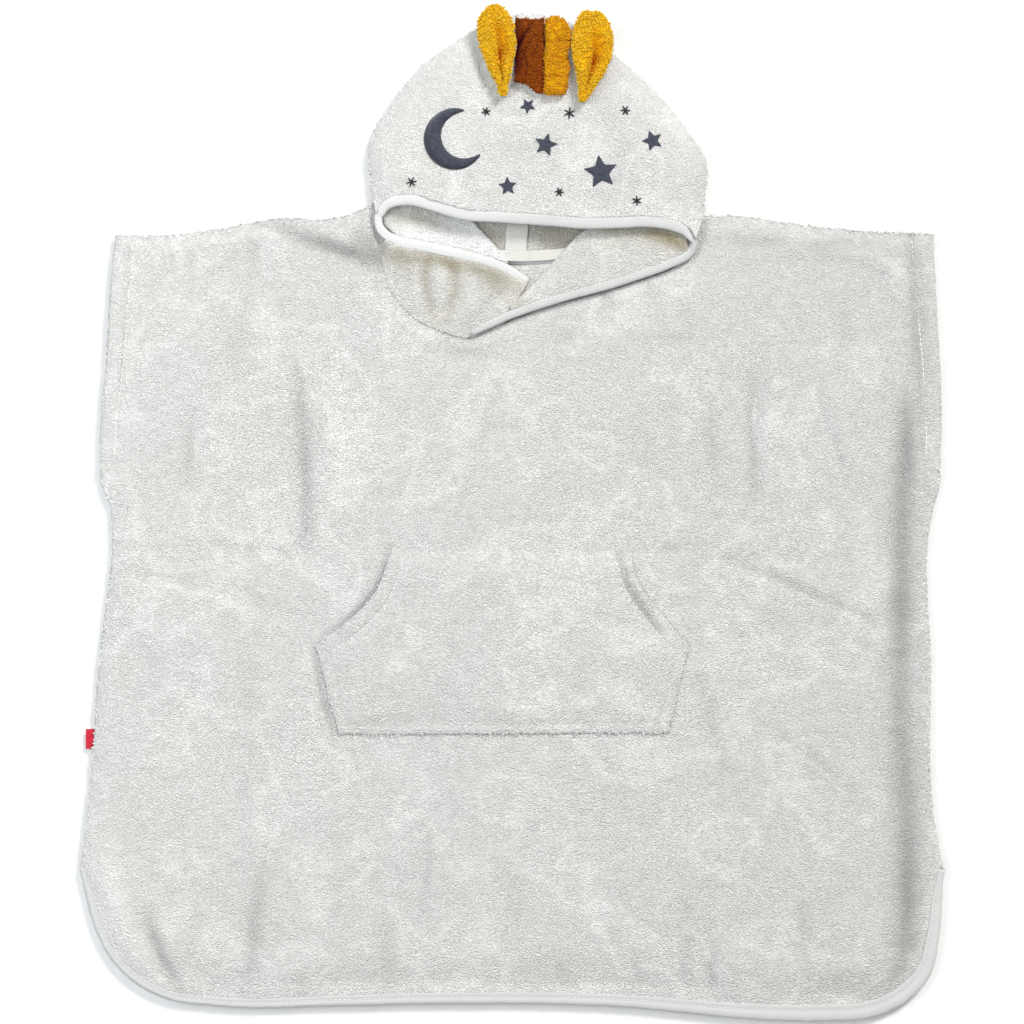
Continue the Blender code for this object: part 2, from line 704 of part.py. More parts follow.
HOOD_LEFT_EDGE = smooth_curve(HOOD_LEFT, CUT_STEPS // 3)
HOOD_RIGHT_EDGE = smooth_curve(HOOD_RIGHT, CUT_STEPS // 3)
HOOD_ARCH = joined(
    HOOD_LEFT_EDGE, smooth_curve(HOOD_TOP, CUT_STEPS // 3), list(reversed(HOOD_RIGHT_EDGE))
)


def face_height(point):
    """Mid-height of the face panel: a soft dome that falls to the hood's outline."""
    away = distance_to(point, HOOD_ARCH)
    return HOOD_RIM + HOOD_RISE * (1 - math.exp(-away / HOOD_FALL))


def on_face(point):
    """Height just over the face panel's top, for what is sewn on it."""
    return face_height(point) + WALL / 2 + SEAM


def face_bottom():
    """Lower edge of the face panel: the upper lip, without its binding."""
    spots = beside_lip(smooth_curve(UPPER_LIP, CUT_STEPS // 2), SEAM)
    low, high = FACE_ENDS
    return [spot for spot in spots if low < spot.x < high and spot.y > FACE_LOWEST]


def beside_lip(lip, gap):
    """Plan points to the left of a stretch of the mouth binding, or to its right for a gap under 0."""
    turn = math.copysign(1.0, gap)
    return [
        point.xy + sideways(lip, i) * (turn * point[LIP_WIDTH] / 2 + gap)
        for i, point in enumerate(lip)
    ]


def make_face():
    columns, rows = 18, 12
    lower = evenly_spaced(face_bottom(), columns, towards_ends)
    top = smooth_curve(HOOD_TOP, columns, towards_ends)
    left = evenly_spaced([lower[0]] + HOOD_LEFT_EDGE, rows, towards_last)
    right = evenly_spaced([lower[-1]] + HOOD_RIGHT_EDGE, rows, towards_last)
    middle = at_height(filled(lower, top, left, right), face_height)
    wall(
        "hood_crown",
        along_normals(middle, -WALL / 2),
        along_normals(middle, WALL / 2),
        "terry_white",
    )


def centre_back(steps):
    """The centre-back seam, from the neck to the top of the head."""
    return straight(Vector(BACK_NECK[BACK_NECK_MIDDLE]), Vector(HOOD_TOP[HOOD_TOP_MIDDLE]), steps)


def make_hood_backs():
    """The two hood sides' stretches that lie under the head, meeting at the centre back."""
    steps = 10
    seam = centre_back(steps)
    neck_left = evenly_spaced(BACK_NECK_LEFT, steps)
    neck_right = evenly_spaced(BACK_NECK_RIGHT, steps)
    top_left = smooth_curve(HOOD_TOP[: HOOD_TOP_MIDDLE + 1], steps)
    top_right = smooth_curve(HOOD_TOP[HOOD_TOP_MIDDLE:], steps)
    outer_left = smooth_curve((BACK_NECK[0],) + HOOD_LEFT, steps)
    outer_right = smooth_curve((BACK_NECK[-1],) + HOOD_RIGHT[1:], steps)
    for name, neck, top, left, right in (
        ("hood_back_left", neck_left, top_left, outer_left, moved_left(seam, SEAM / 2)),
        ("hood_back_right", neck_right, top_right, moved_left(seam, -SEAM / 2), outer_right),
    ):
        grid = filled(moved_left(neck, SEAM), top, left, right)
        wall(name, at_height(grid, 0.0), at_height(grid, BACK_TOP), "terry_white")


def make_seam_tape():
    seam = centre_back(8)[:-1]
    half = Vector((SEAM_TAPE_WIDTH / 2, 0))
    grid = [[point - half, point + half] for point in seam]
    top = FRONT_LOW + TAPE
    wall("hood_seam_tape", at_height(grid, FRONT_LOW), at_height(grid, top), "tape")


def folded_slab(name, grid):
    """Layers of cloth folded away inside the hood, as one slab with a rounded top."""
    rows, columns = len(grid) - 1, len(grid[0]) - 1
    upper = []
    for r, row in enumerate(grid):
        line = []
        for c, point in enumerate(row):
            share = FOLDED_EDGE[min(r, rows - r, c, columns - c, len(FOLDED_EDGE) - 1)]
            level = FRONT_LOW + (FOLDED_TOP - FRONT_LOW) * share
            line.append(Vector((point.x, point.y, level)))
        upper.append(line)
    wall(name, at_height(grid, FRONT_LOW), upper, "terry_white")


def make_folded_layers():
    edges = (INNER_FOLD_LOW, INNER_FOLD_HIGH, INNER_FOLD_OUTER, INNER_FOLD_LEFT)
    folded_slab("hood_pleat_left", filled(*(smooth_curve(edge, FOLDED_STEPS) for edge in edges)))
    start, stop = PLEAT_RIGHT_ENDS
    neck = evenly_spaced(FRONT_NECK_EDGE, CUT_STEPS)
    low = [point for point in neck if start < point.x < stop and point.y < PLEAT_RIGHT_TOP]
    low = evenly_spaced(moved_left(low, 2 * SEAM), FOLDED_STEPS)
    fold = [point for point in smooth_curve(THROAT_FOLD_RIGHT, CUT_STEPS) if point.x > start]
    high = evenly_spaced(moved_left(fold, -PLEAT_RIGHT_INSET), FOLDED_STEPS)
    folded_slab("hood_pleat_right", filled(low, high, *end_lines(low, high, FOLDED_STEPS)))


def end_lines(low, high, steps):
    """The two straight ends of a strip between a lower and an upper edge."""
    return straight(low[0], high[0], steps), straight(low[-1], high[-1], steps)


def make_left_flap():
    """Left throat flap, outer side up: it rises from the neck seam to the lip and is gathered."""
    columns, rows = 20, 6
    neck = evenly_spaced(FRONT_NECK_EDGE, CUT_STEPS)
    neck = [point for point in neck if point.x < FLAP_LEFT_END and point.y < FLAP_LEFT_TOP]
    low = evenly_spaced(moved_left(neck, SEAM), columns)
    lip = list(reversed(smooth_curve(LOWER_LIP_LEFT, CUT_STEPS)))
    lip = evenly_spaced([point for point in lip if point.y < FLAP_LEFT_TOP], columns)
    high = beside_lip(lip, -2 * SEAM)
    middle = []
    for r, row in enumerate(filled(low, high, *end_lines(low, high, rows))):
        rise = math.sin(math.pi / 2 * r / rows)
        belly = math.sin(math.pi * r / rows)
        line = []
        for c, point in enumerate(row):
            level = FLAP_SEAM_LEVEL + (lip[c].z - FLAP_SEAM_LEVEL) * rise
            level += belly * (FLAP_BULGE + crease_height(point, FLAP_PUCKERS))
            line.append(Vector((point.x, point.y, level)))
        middle.append(line)
    wall(
        "hood_flap_left",
        along_normals(middle, -WALL / 2),
        along_normals(middle, WALL / 2),
        "terry_white",
    )


def make_right_flap():
    """Right throat flap, turned back so that its inner side is up and its lip lies on the neck seam."""
    columns, rows = 16, 5
    start, stop = FLAP_RIGHT_ENDS
    lip = reversed(smooth_curve(LOWER_LIP_RIGHT, CUT_STEPS))
    lip = evenly_spaced([point for point in lip if start < point.x < stop], columns)
    low = beside_lip(lip, 2 * SEAM)
    high = smooth_curve(THROAT_FOLD_RIGHT, columns)
    middle = []
    for r, row in enumerate(filled(low, high, *end_lines(low, high, rows))):
        swell = FLAP_SWELL * math.sin(math.pi * r / rows)
        line = []
        for c, point in enumerate(row):
            drop = FLAP_DROP * eased(r / rows) * eased(FLAP_DROP_START * c / columns)
            line.append(Vector((point.x, point.y, lip[c].z - drop + swell)))
        middle.append(line)
    wall(
        "hood_flap_right",
        along_normals(middle, -FLAP_RIGHT_WALL / 2),
        along_normals(middle, FLAP_RIGHT_WALL / 2),
        "terry_white",
    )


def make_hood_binding():
    """Tape round the mouth of the hood, from the left throat end to the right one."""
    lower_steps, upper_steps, sides = 16, 30, 6
    route = joined(
        smooth_curve(LOWER_LIP_LEFT, lower_steps),
        smooth_curve(UPPER_LIP, upper_steps),
        smooth_curve(LOWER_LIP_RIGHT, lower_steps),
    )
    rings = []
    for i, point in enumerate(route):
        across = sideways(route, i)
        ring = []
        for k in range(sides):
            angle = 2 * math.pi * k / sides
            reach = across * (math.cos(angle) * point[LIP_WIDTH] / 2)
            level = point.z + math.sin(angle) * point[LIP_HEIGHT] / 2
            ring.append((point.x + reach.x, point.y + reach.y, level))
        rings.append(ring)
    tube("hood_binding", rings, "binding_white")


# ---------------------------------------------------------------- ears, crest and motifs


def ear_grid(ear, shift, growth):
    """Rows across a leaf-shaped ear, from its narrow base to its round top."""
    rows, columns = 10, len(EAR_RELIEF) - 1
    base = Vector((ear.base_x, ear.base_y)) + shift
    tip = Vector((ear.tip_x, ear.tip_y)) + shift * 0.5
    across = Vector((tip.y - base.y, base.x - tip.x)).normalized()
    grid = []
    for r in range(rows + 1):
        t = r / rows
        leaf = (EAR_LEAF[0] + (EAR_LEAF[1] - EAR_LEAF[0]) * t) ** EAR_FULLEST
        half = ear.half_width * math.sin(math.pi * leaf) ** EAR_ROUNDNESS + growth
        middle = base.lerp(tip, t)
        grid.append([middle + across * half * (2 * c / columns - 1) for c in range(columns + 1)])
    return grid


def perch(point, extra=0.0):
    """Height of what is sewn on the head: level where it is sewn, and drooping towards its end."""
    share = max(point.y - EAR_SEWN_Y, 0.0) / EAR_REACH
    return EAR_LEVEL - EAR_DROOP * share * share + extra


def make_ears():
    for ear in EARS:
        back = ear_grid(ear, EAR_BACK_SHIFT, EAR_BACK_GROWTH)
        wall(
            f"ear_{ear.name}_back",
            at_height(back, perch),
            at_height(back, lambda point: perch(point, EAR_WALL)),
            "terry_white",
        )
        front = ear_grid(ear, Vector((0, 0)), 0.0)
        low = at_height(front, lambda point: perch(point, EAR_WALL + SEAM))
        high = at_height(front, lambda point: perch(point, EAR_WALL + SEAM + EAR_WALL))
        for row in high:
            for c, point in enumerate(row):
                point.z += EAR_RELIEF[c]
        wall(f"ear_{ear.name}_front", low, high, "mustard")


def make_crest():
    """Two folded tabs side by side between the ears, each a slab with a rounded top end."""
    rows, columns = 8, len(CREST_ARCH) - 1
    for tab in CREST:
        half = (tab.right - tab.left) / 2
        middle_x = (tab.left + tab.right) / 2
        low, high = [], []
        for r in range(rows + 1):
            t = towards_last(r / rows)
            y = tab.bottom + (tab.top - tab.bottom) * t
            ending = eased((t - CREST_END) / (1 - CREST_END))
            narrow = half * (1 - (1 - CREST_END_WIDTH) * ending)
            height = tab.thickness * (1 - (1 - CREST_END_HEIGHT) * ending)
            row = [middle_x + narrow * (2 * c / columns - 1) for c in range(columns + 1)]
            level = perch(Vector((middle_x, y)))
            low.append([Vector((x, y, level)) for x in row])
            high.append(
                [Vector((x, y, level + height * share)) for x, share in zip(row, CREST_ARCH)]
            )
        wall(f"crest_{tab.name}", low, high, tab.colour)


def make_moon():
    """Crescent between two arcs that meet near its horns."""
    steps = 16
    spread = math.radians(180 - MOON_OPENING)
    grid = [[], [], []]
    for i in range(steps + 1):
        turn = 2 * i / steps - 1
        angle = math.radians(MOON_TURN) + spread * turn
        share = max(math.cos(turn * math.pi / 2), 0.0) ** MOON_FULLNESS
        width = LEAST_HORN + (MOON_WIDTH - LEAST_HORN) * share
        for line, depth in zip(grid, (width, width / 2, 0.0)):
            reach = MOON_RADIUS - depth
            line.append(
                Vector(MOON_CENTRE) + Vector((math.cos(angle), math.sin(angle))) * reach
            )
    low = at_height(grid, on_face)
    high = at_height(grid, lambda point: on_face(point) + TAPE)
    wall("motif_moon", low, high, "slate")


def make_stars():
    for number, star in enumerate(STARS, 1):
        outline = []
        for k in range(10):
            angle = math.radians(90 + star.turn + 36 * k)
            reach = star.radius * (STAR_WAIST if k % 2 else 1.0)
            outline.append(
                Vector((star.x + reach * math.cos(angle), star.y + reach * math.sin(angle)))
            )
        patch(f"motif_star_{number}", outline, on_face, TAPE, "slate")


# ---------------------------------------------------------------- the poncho


def main():
    for obj in list(bpy.data.objects):
        bpy.data.objects.remove(obj, do_unlink=True)
    poncho = bpy.data.objects.new("poncho", None)
    bpy.context.scene.collection.objects.link(poncho)
    make_body()
    make_hem_binding("back_hem_binding", lambda point: 0.0)
    make_hem_binding("front_hem_binding", lambda point: front_under(point) - BINDING_EXTRA)
    make_pocket()
    make_label()
    make_hood_backs()
    make_seam_tape()
    make_folded_layers()
    make_left_flap()
    make_right_flap()
    make_face()
    make_hood_binding()
    make_ears()
    make_crest()
    make_moon()
    make_stars()


main()
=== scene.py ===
"""Toddler's hooded bath poncho, laid flat: its finished cloth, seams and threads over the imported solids.

Metres, +Z up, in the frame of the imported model. +Y runs from the hem to the hood, and the front faces up.
"""

import json
import math
from collections import namedtuple

import bmesh
import bpy
import numpy as np
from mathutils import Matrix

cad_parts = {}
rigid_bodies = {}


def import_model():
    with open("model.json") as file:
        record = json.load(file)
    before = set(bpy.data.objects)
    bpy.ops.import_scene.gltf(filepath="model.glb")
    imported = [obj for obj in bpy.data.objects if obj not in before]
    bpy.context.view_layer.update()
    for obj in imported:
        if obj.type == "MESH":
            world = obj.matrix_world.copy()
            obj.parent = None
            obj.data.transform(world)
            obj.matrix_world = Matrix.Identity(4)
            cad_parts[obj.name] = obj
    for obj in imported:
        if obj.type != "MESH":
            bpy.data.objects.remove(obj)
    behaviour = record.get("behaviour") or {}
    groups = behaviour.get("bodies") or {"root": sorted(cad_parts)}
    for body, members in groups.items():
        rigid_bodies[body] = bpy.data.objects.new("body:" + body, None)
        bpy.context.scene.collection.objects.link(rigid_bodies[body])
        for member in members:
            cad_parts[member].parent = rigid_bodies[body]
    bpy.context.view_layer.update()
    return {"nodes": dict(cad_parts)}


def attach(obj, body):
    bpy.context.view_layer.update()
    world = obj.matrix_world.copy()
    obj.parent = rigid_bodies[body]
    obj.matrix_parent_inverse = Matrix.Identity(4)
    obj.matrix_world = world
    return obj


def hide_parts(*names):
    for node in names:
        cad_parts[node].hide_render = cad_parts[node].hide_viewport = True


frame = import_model()

bl_info = {
    "name": "Hooded bath poncho",
    "version": (1, 0, 0),
    "blender": (4, 5, 0),
    "location": "View3D > Sidebar > Poncho",
    "description": "Makes a toddler's hooded terry bath poncho, laid flat",
    "category": "Add Mesh",
}

# ---------------------------------------------------------------- sizes shared with the solids

SEAM = 0.0003  # gap between two pieces at a seam
WALL = 0.0028  # one layer of terry with its loops
TAPE = 0.0008  # woven tape and sewn-on motifs
VENT_Y = -0.250
HEM_BINDING_END = 0.0020
HEM_STEPS = 304
HEM_END_STEPS = 8
HEM_CORNER = 40  # steps from a vent to the middle of the rounded corner
BINDING_EXTRA = 0.0003
VENT_EASE = 0.04
VENT_SLANT = 0.0015
VENT_LIFT = 3 * BINDING_EXTRA
FRONT_LOFT = 0.0034
SIDE_EASE = 0.013
NECK_EASE = 0.034
# painted shade: the pile is painted darker towards the right, where less light falls
SHADE_RAMP = 0.09  # how much darker the pile gets with each metre to the right
POCKET_GAP = 0.0007
POCKET_LOFT = 0.0018
POCKET_EASE = 0.022
HOOD_RIM = 0.0052
HOOD_RISE = 0.0125
HOOD_FALL = 0.013
FLAP_BULGE = 0.0014
FLAP_SWELL = 0.0010
FLAP_DROP = 0.0004
FLAP_DROP_START = 2.5
FLAP_LEFT_END = -0.006
FLAP_LEFT_TOP = 0.1925
FLAP_NECK_TOP = 0.189
FLAP_RIGHT_ENDS = (-0.001, 0.1245)
FLAP_RIGHT_WALL = 0.0030
PLEAT_RIGHT_ENDS = (0.017, 0.116)
PLEAT_RIGHT_TOP = 0.176
PLEAT_RIGHT_INSET = 0.0035
FACE_ENDS = (-0.0975, 0.1310)
FACE_LOWEST = 0.1905
FACE_CORNERS_PROUD = 0.0030
FOLDED_TOP = 0.0070
SEAM_TAPE_WIDTH = 0.016
EAR_LEVEL = 0.0206
EAR_SEWN_Y = 0.288
EAR_REACH = 0.068
EAR_DROOP = 0.0085
EAR_WALL = 0.0022
EAR_FRONT_RISE = 1.5 * EAR_WALL + SEAM  # from an ear's seat to the middle of its front
LEAST_HORN = 0.0012
STAR_WAIST = 0.46
FINE = 12
DENSE = 240

BACK_TOP = WALL
FRONT_LOW = BACK_TOP + SEAM
FRONT_MIDDLE = FRONT_LOW + WALL / 2

Level = namedtuple("Level", "y left right")
Fold = namedtuple("Fold", "path width height")
Ear = namedtuple("Ear", "name outline")
Tab = namedtuple("Tab", "name colour left right bottom top thickness")
Star = namedtuple("Star", "x y radius turn")
LIP_WIDTH, LIP_HEIGHT = 3, 4
HEM_TAPE = 2


def metres(value):
    """Millimetres as metres, for one number or for nested rows of them."""
    if isinstance(value, tuple):
        return tuple(metres(part) for part in value)
    return round(value / 1000, 7)


def levels(*rows):
    """Levels from rows in millimetres: y, and x of the left and of the right edge there."""
    return tuple(Level(*metres(row)) for row in rows)


def painted_shade_rows(*rows):
    """Stretches of painted shade from rows of half width, share of painted darkening (below nought a painted
    highlight), and x and y of each point of a path.
    """
    made = []
    for width, share, *places in rows:
        path = metres(tuple(zip(places[::2], places[1::2])))
        made.append(Fold(path, metres(width), share))
    return tuple(made)


def fold_rows(*rows):
    """Troughs, which go down, and ridges, from rows in mm: half width, height, then the path's x and y."""
    return tuple(fold._replace(height=metres(fold.height)) for fold in painted_shade_rows(*rows))


SIDE_SEAM = levels(
    (-250, -301.9, 301.9), (-215.6, -298.2, 295.5), (-178.5, -294.3, 292.7), (-104.9, -289, 293.2),
    (-49.7, -282.2, 290.6), (-20, -279.8, 291.2), (4, -280.6, 295),
)
UNDERARM = levels((4, -280.6, 295), (16.8, -286.7, 298.9), (36.4, -288.8, 299.9))
CUFF = levels(
    (36.4, -288.8, 299.9), (71.7, -287.2, 300.6), (103.6, -284.2, 299.6), (144.2, -282.1, 297),
    (194, -277.7, 295),
)
HEM = metres((  # x, y and width of the tape, from the left vent round to the right one
    (-301.9, -250, 3.6), (-297.9, -269, 3.8), (-290.5, -294, 3.8), (-279, -315, 4), (-263, -330, 4.3),
    (-244.5, -339.7, 4.6), (-203.9, -346.1, 5), (-123.6, -345.8, 6), (-64.4, -344.6, 6.6),
    (75.6, -346.5, 7.4), (172, -355.4, 9.8), (220.2, -356.5, 10.6), (252.4, -353.8, 10.6),
    (276.5, -342.6, 10.4), (292.6, -324.8, 9.4), (299, -300, 8), (301.2, -274, 6.4), (301.9, -250, 5.6),
))
SHOULDER_LEFT = metres((
    (-277.7, 194), (-239.4, 193.9), (-203.7, 198.8), (-163.8, 205.8), (-123.9, 206.2), (-95.5, 216),
))
SHOULDER_RIGHT = metres((
    (133, 209.8), (156, 210), (188.1, 205.9), (220.2, 201.9), (245.9, 199.5), (295, 197.5),
))
FRONT_NECK = metres((
    (-95.5, 216), (-92.5, 206.5), (-89.7, 197.5), (-88.6, 188), (-88.6, 176), (-86.2, 163), (-80, 150),
    (-66.5, 135.8), (-50.4, 128.1), (-29, 123.2), (-14, 130.3), (0, 136.6), (30, 147.2), (60, 155.3),
    (86, 163.5), (115, 175.2), (124.5, 184), (126.8, 193), (129, 201.5), (133, 209.8),
))
BACK_NECK = metres((
    (-95.5, 216), (-88, 198), (-60, 185), (-30, 178.5), (2, 176), (40, 178), (80, 184), (115, 194),
    (133, 209.8),
))
BACK_NECK_MIDDLE = 4
POCKET_SIDE_LEFT = metres(((-121.1, -156.1), (-138, -93.1)))
POCKET_SIDE_RIGHT = metres(((109.9, -154.7), (124.2, -93.5)))
POCKET_MOUTH_LEFT = metres(((-138, -93.1), (-111.3, -73.5), (-96.6, -57.4), (-83.3, -23.8)))
POCKET_MOUTH_RIGHT = metres(((124.2, -93.5), (103.6, -70), (89.6, -51.1), (81.9, -24.5)))
HOOD_LEFT = metres((
    (-97.6, 219), (-98.8, 236.4), (-100.3, 250.1), (-95.6, 266.8), (-81.9, 289.4), (-64.2, 311.5),
))
HOOD_TOP = metres((
    (-64.2, 311.5), (-43.5, 326.2), (-10, 344), (16, 348.5), (40, 342.5), (60, 330), (81, 310.5),
))
HOOD_TOP_MIDDLE = 3
HOOD_RIGHT = metres((
    (133.5, 204), (134.5, 216.7), (135.3, 245.2), (122.2, 266.8), (102.6, 290.4), (81, 310.5),
))
LOWER_LIP_LEFT = metres((  # x, y, z, width and height of the mouth binding
    (11.5, 161, 5.4, 5.2, 3.2), (6, 164.2, 6.2, 6.2, 3.6), (-4.2, 170.3, 7.2, 6.6, 4),
    (-16.1, 174.8, 8.3, 7, 4.2), (-39.9, 180.8, 9.5, 8, 4.4), (-63.7, 185.9, 9.7, 8, 4.4),
    (-79, 189.2, 9.6, 7.6, 4.4), (-88, 193.5, 9.6, 7, 4.2), (-92.8, 199.5, 9.7, 6.4, 4.2),
    (-93.8, 206.5, 9.8, 6, 4.2),
))
UPPER_LIP = metres((
    (-93.8, 206.5, 9.8, 6, 4.2), (-88, 214.3, 12.2, 7, 3.8), (-71.4, 218.2, 15.8, 8.4, 3.8),
    (-55.5, 214.2, 16.7, 8.4, 3.8), (-35, 208, 17.3, 8.4, 3.8), (-9, 206, 17.7, 8.4, 3.8),
    (22, 203.8, 17.7, 8.4, 3.8), (52.5, 201.6, 17.7, 8.4, 3.8), (74, 202, 17.4, 8.4, 3.8),
    (97, 202.7, 16.5, 8.4, 3.8), (113, 200, 14.8, 8.2, 3.8), (123.5, 194.5, 13, 7, 3.8),
    (127.5, 188, 11.6, 6.2, 3.8),
))
LOWER_LIP_RIGHT = metres((
    (127.5, 188, 11.6, 6.2, 4.6), (124, 181.2, 10, 6.2, 4.4), (109.6, 173.4, 9.1, 6.4, 4.2),
    (86.4, 165, 8.9, 6.6, 4.2), (63.2, 157.6, 8.9, 6.6, 4.2), (39.8, 151.5, 8.9, 6.6, 4.2),
    (16.8, 144.4, 9, 6.6, 4.2), (-6.4, 135.8, 9.4, 6.2, 4.2), (-18, 130.2, 9.4, 5.6, 4),
    (-29, 124.8, 9.2, 4.6, 3.6),
))
THROAT_FOLD_RIGHT = metres((
    (-1, 144), (12.6, 156.8), (31.5, 177.8), (52, 198.5), (65, 206), (90, 207), (112, 201), (123, 193),
))
INNER_FOLD_LEFT = metres(((-2, 173.5), (-7, 181), (-15, 190), (-25.9, 203), (-40, 228), (-60, 264)))
INNER_FOLD_LOW = metres((
    (-90, 201), (-80, 191.8), (-63.7, 188), (-39.9, 183.1), (-16.1, 177.8), (-2, 173.5),
))
LIP_RISE = 0.0002  # how far the layers rise towards the lip they hang from
INNER_FOLD_HIGH = metres(((-78, 270), (-60, 264)))
INNER_FOLD_OUTER = metres(((-90, 201), (-91.2, 215), (-89.5, 240), (-78, 270)))

# ---------------------------------------------------------------- folds, painted shade and details of the finished cloth

FRONT_FOLDS = fold_rows(
    (6, -1.7, -159, 193, -129, 185, -98, 171),
    (5, 1.3, -162, 200, -165, 179, -160, 151),
    (4, -0.8, -222, 195, -221, 174),
    (4, -0.7, -190, 193, -185, 150),
    (6, 0.7, -204, 193, -202, 155),
    (5, -0.9, -280, 35, -269, -6),
    (6, -1.7, -148, 91, -146, 43, -148, -6),
    (7, 1.4, -128, 84, -126, 36, -129, 0),
    (6, -1.2, -223, 70, -221, 36, -223, 3),
    (7, 0.7, -209, 64, -206, 8),
    (6, -1.7, 171, 125, 169, 57, 171, -6),
    (6, 1.4, 182, 122, 181, 57, 183, 0),
    (5, -1, 142, 76, 144, 17),
    (6, -1.3, 207, 101, 220, 57, 234, 15),
    (7, 0.9, 218, 98, 231, 57, 244, 18),
    (4, -0.8, 140, -31, 202, -55, 263, -81),
    (5, 0.5, 143, -25, 204, -48, 262, -71),
    (4, -0.8, 171, -147, 218, -181, 262, -220),
    (5, 0.5, 177, -141, 224, -174, 263, -210),
    (3.5, -0.7, -274, -41, -215, -55, -155, -75),
    (6, -0.9, -195, -168, -193, -251, -196, -335),
    (7, 0.9, -183, -171, -180, -251, -183, -331),
    (5, -0.8, -59, -231, -63, -255, -69, -280),
    (7, -1.7, -258, -282, -248, -310, -234, -337),
    (13, 1.9, -280, -266, -267, -303, -253, -331),
    (5, -1.1, -183, -275, -183, -330),
    (5, -1.1, -88, -287, -89, -319),
    (5, -1.3, 136, -287, 138, -339),
    (6, 1.2, 157, -305, 155, -342),
    (6, 0.8, -101, -293, -98, -335),
    (7, -1.2, -52, 118, -43, 112),
    (7, -1.2, 38, 122, 50, 117),
    (9, -1.9, 271, 22, 276, -62, 277, -174, 274, -272, 258, -324),
    (9, 1.1, 251, 8, 255, -90, 256, -202, 249, -293),
    (7, -1.9, 272, 84, 273, 36, 281, -23),
    (6, 1.5, 165, 179, 221, 183, 258, 175, 274, 151, 283, 101),
    (4, -0.5, -221, -23, -175, -28, -125, -32),
    (4, -0.5, 62, -35, 104, -28, 136, -26),
    (5, -0.5, -64, -31, -8, -38, 55, -34),
    (7, -0.6, 6, -181, 10, -244, 3, -293),
    (6, -0.6, 69, -188, 64, -237),
    (7, -0.6, 115, -181, 120, -244),
    (7, -0.6, -29, 92, -35, 50),
    (8, -0.6, 34, 78, 42, 29),
    (9, 0.6, 6, 98, 3, 43),
)
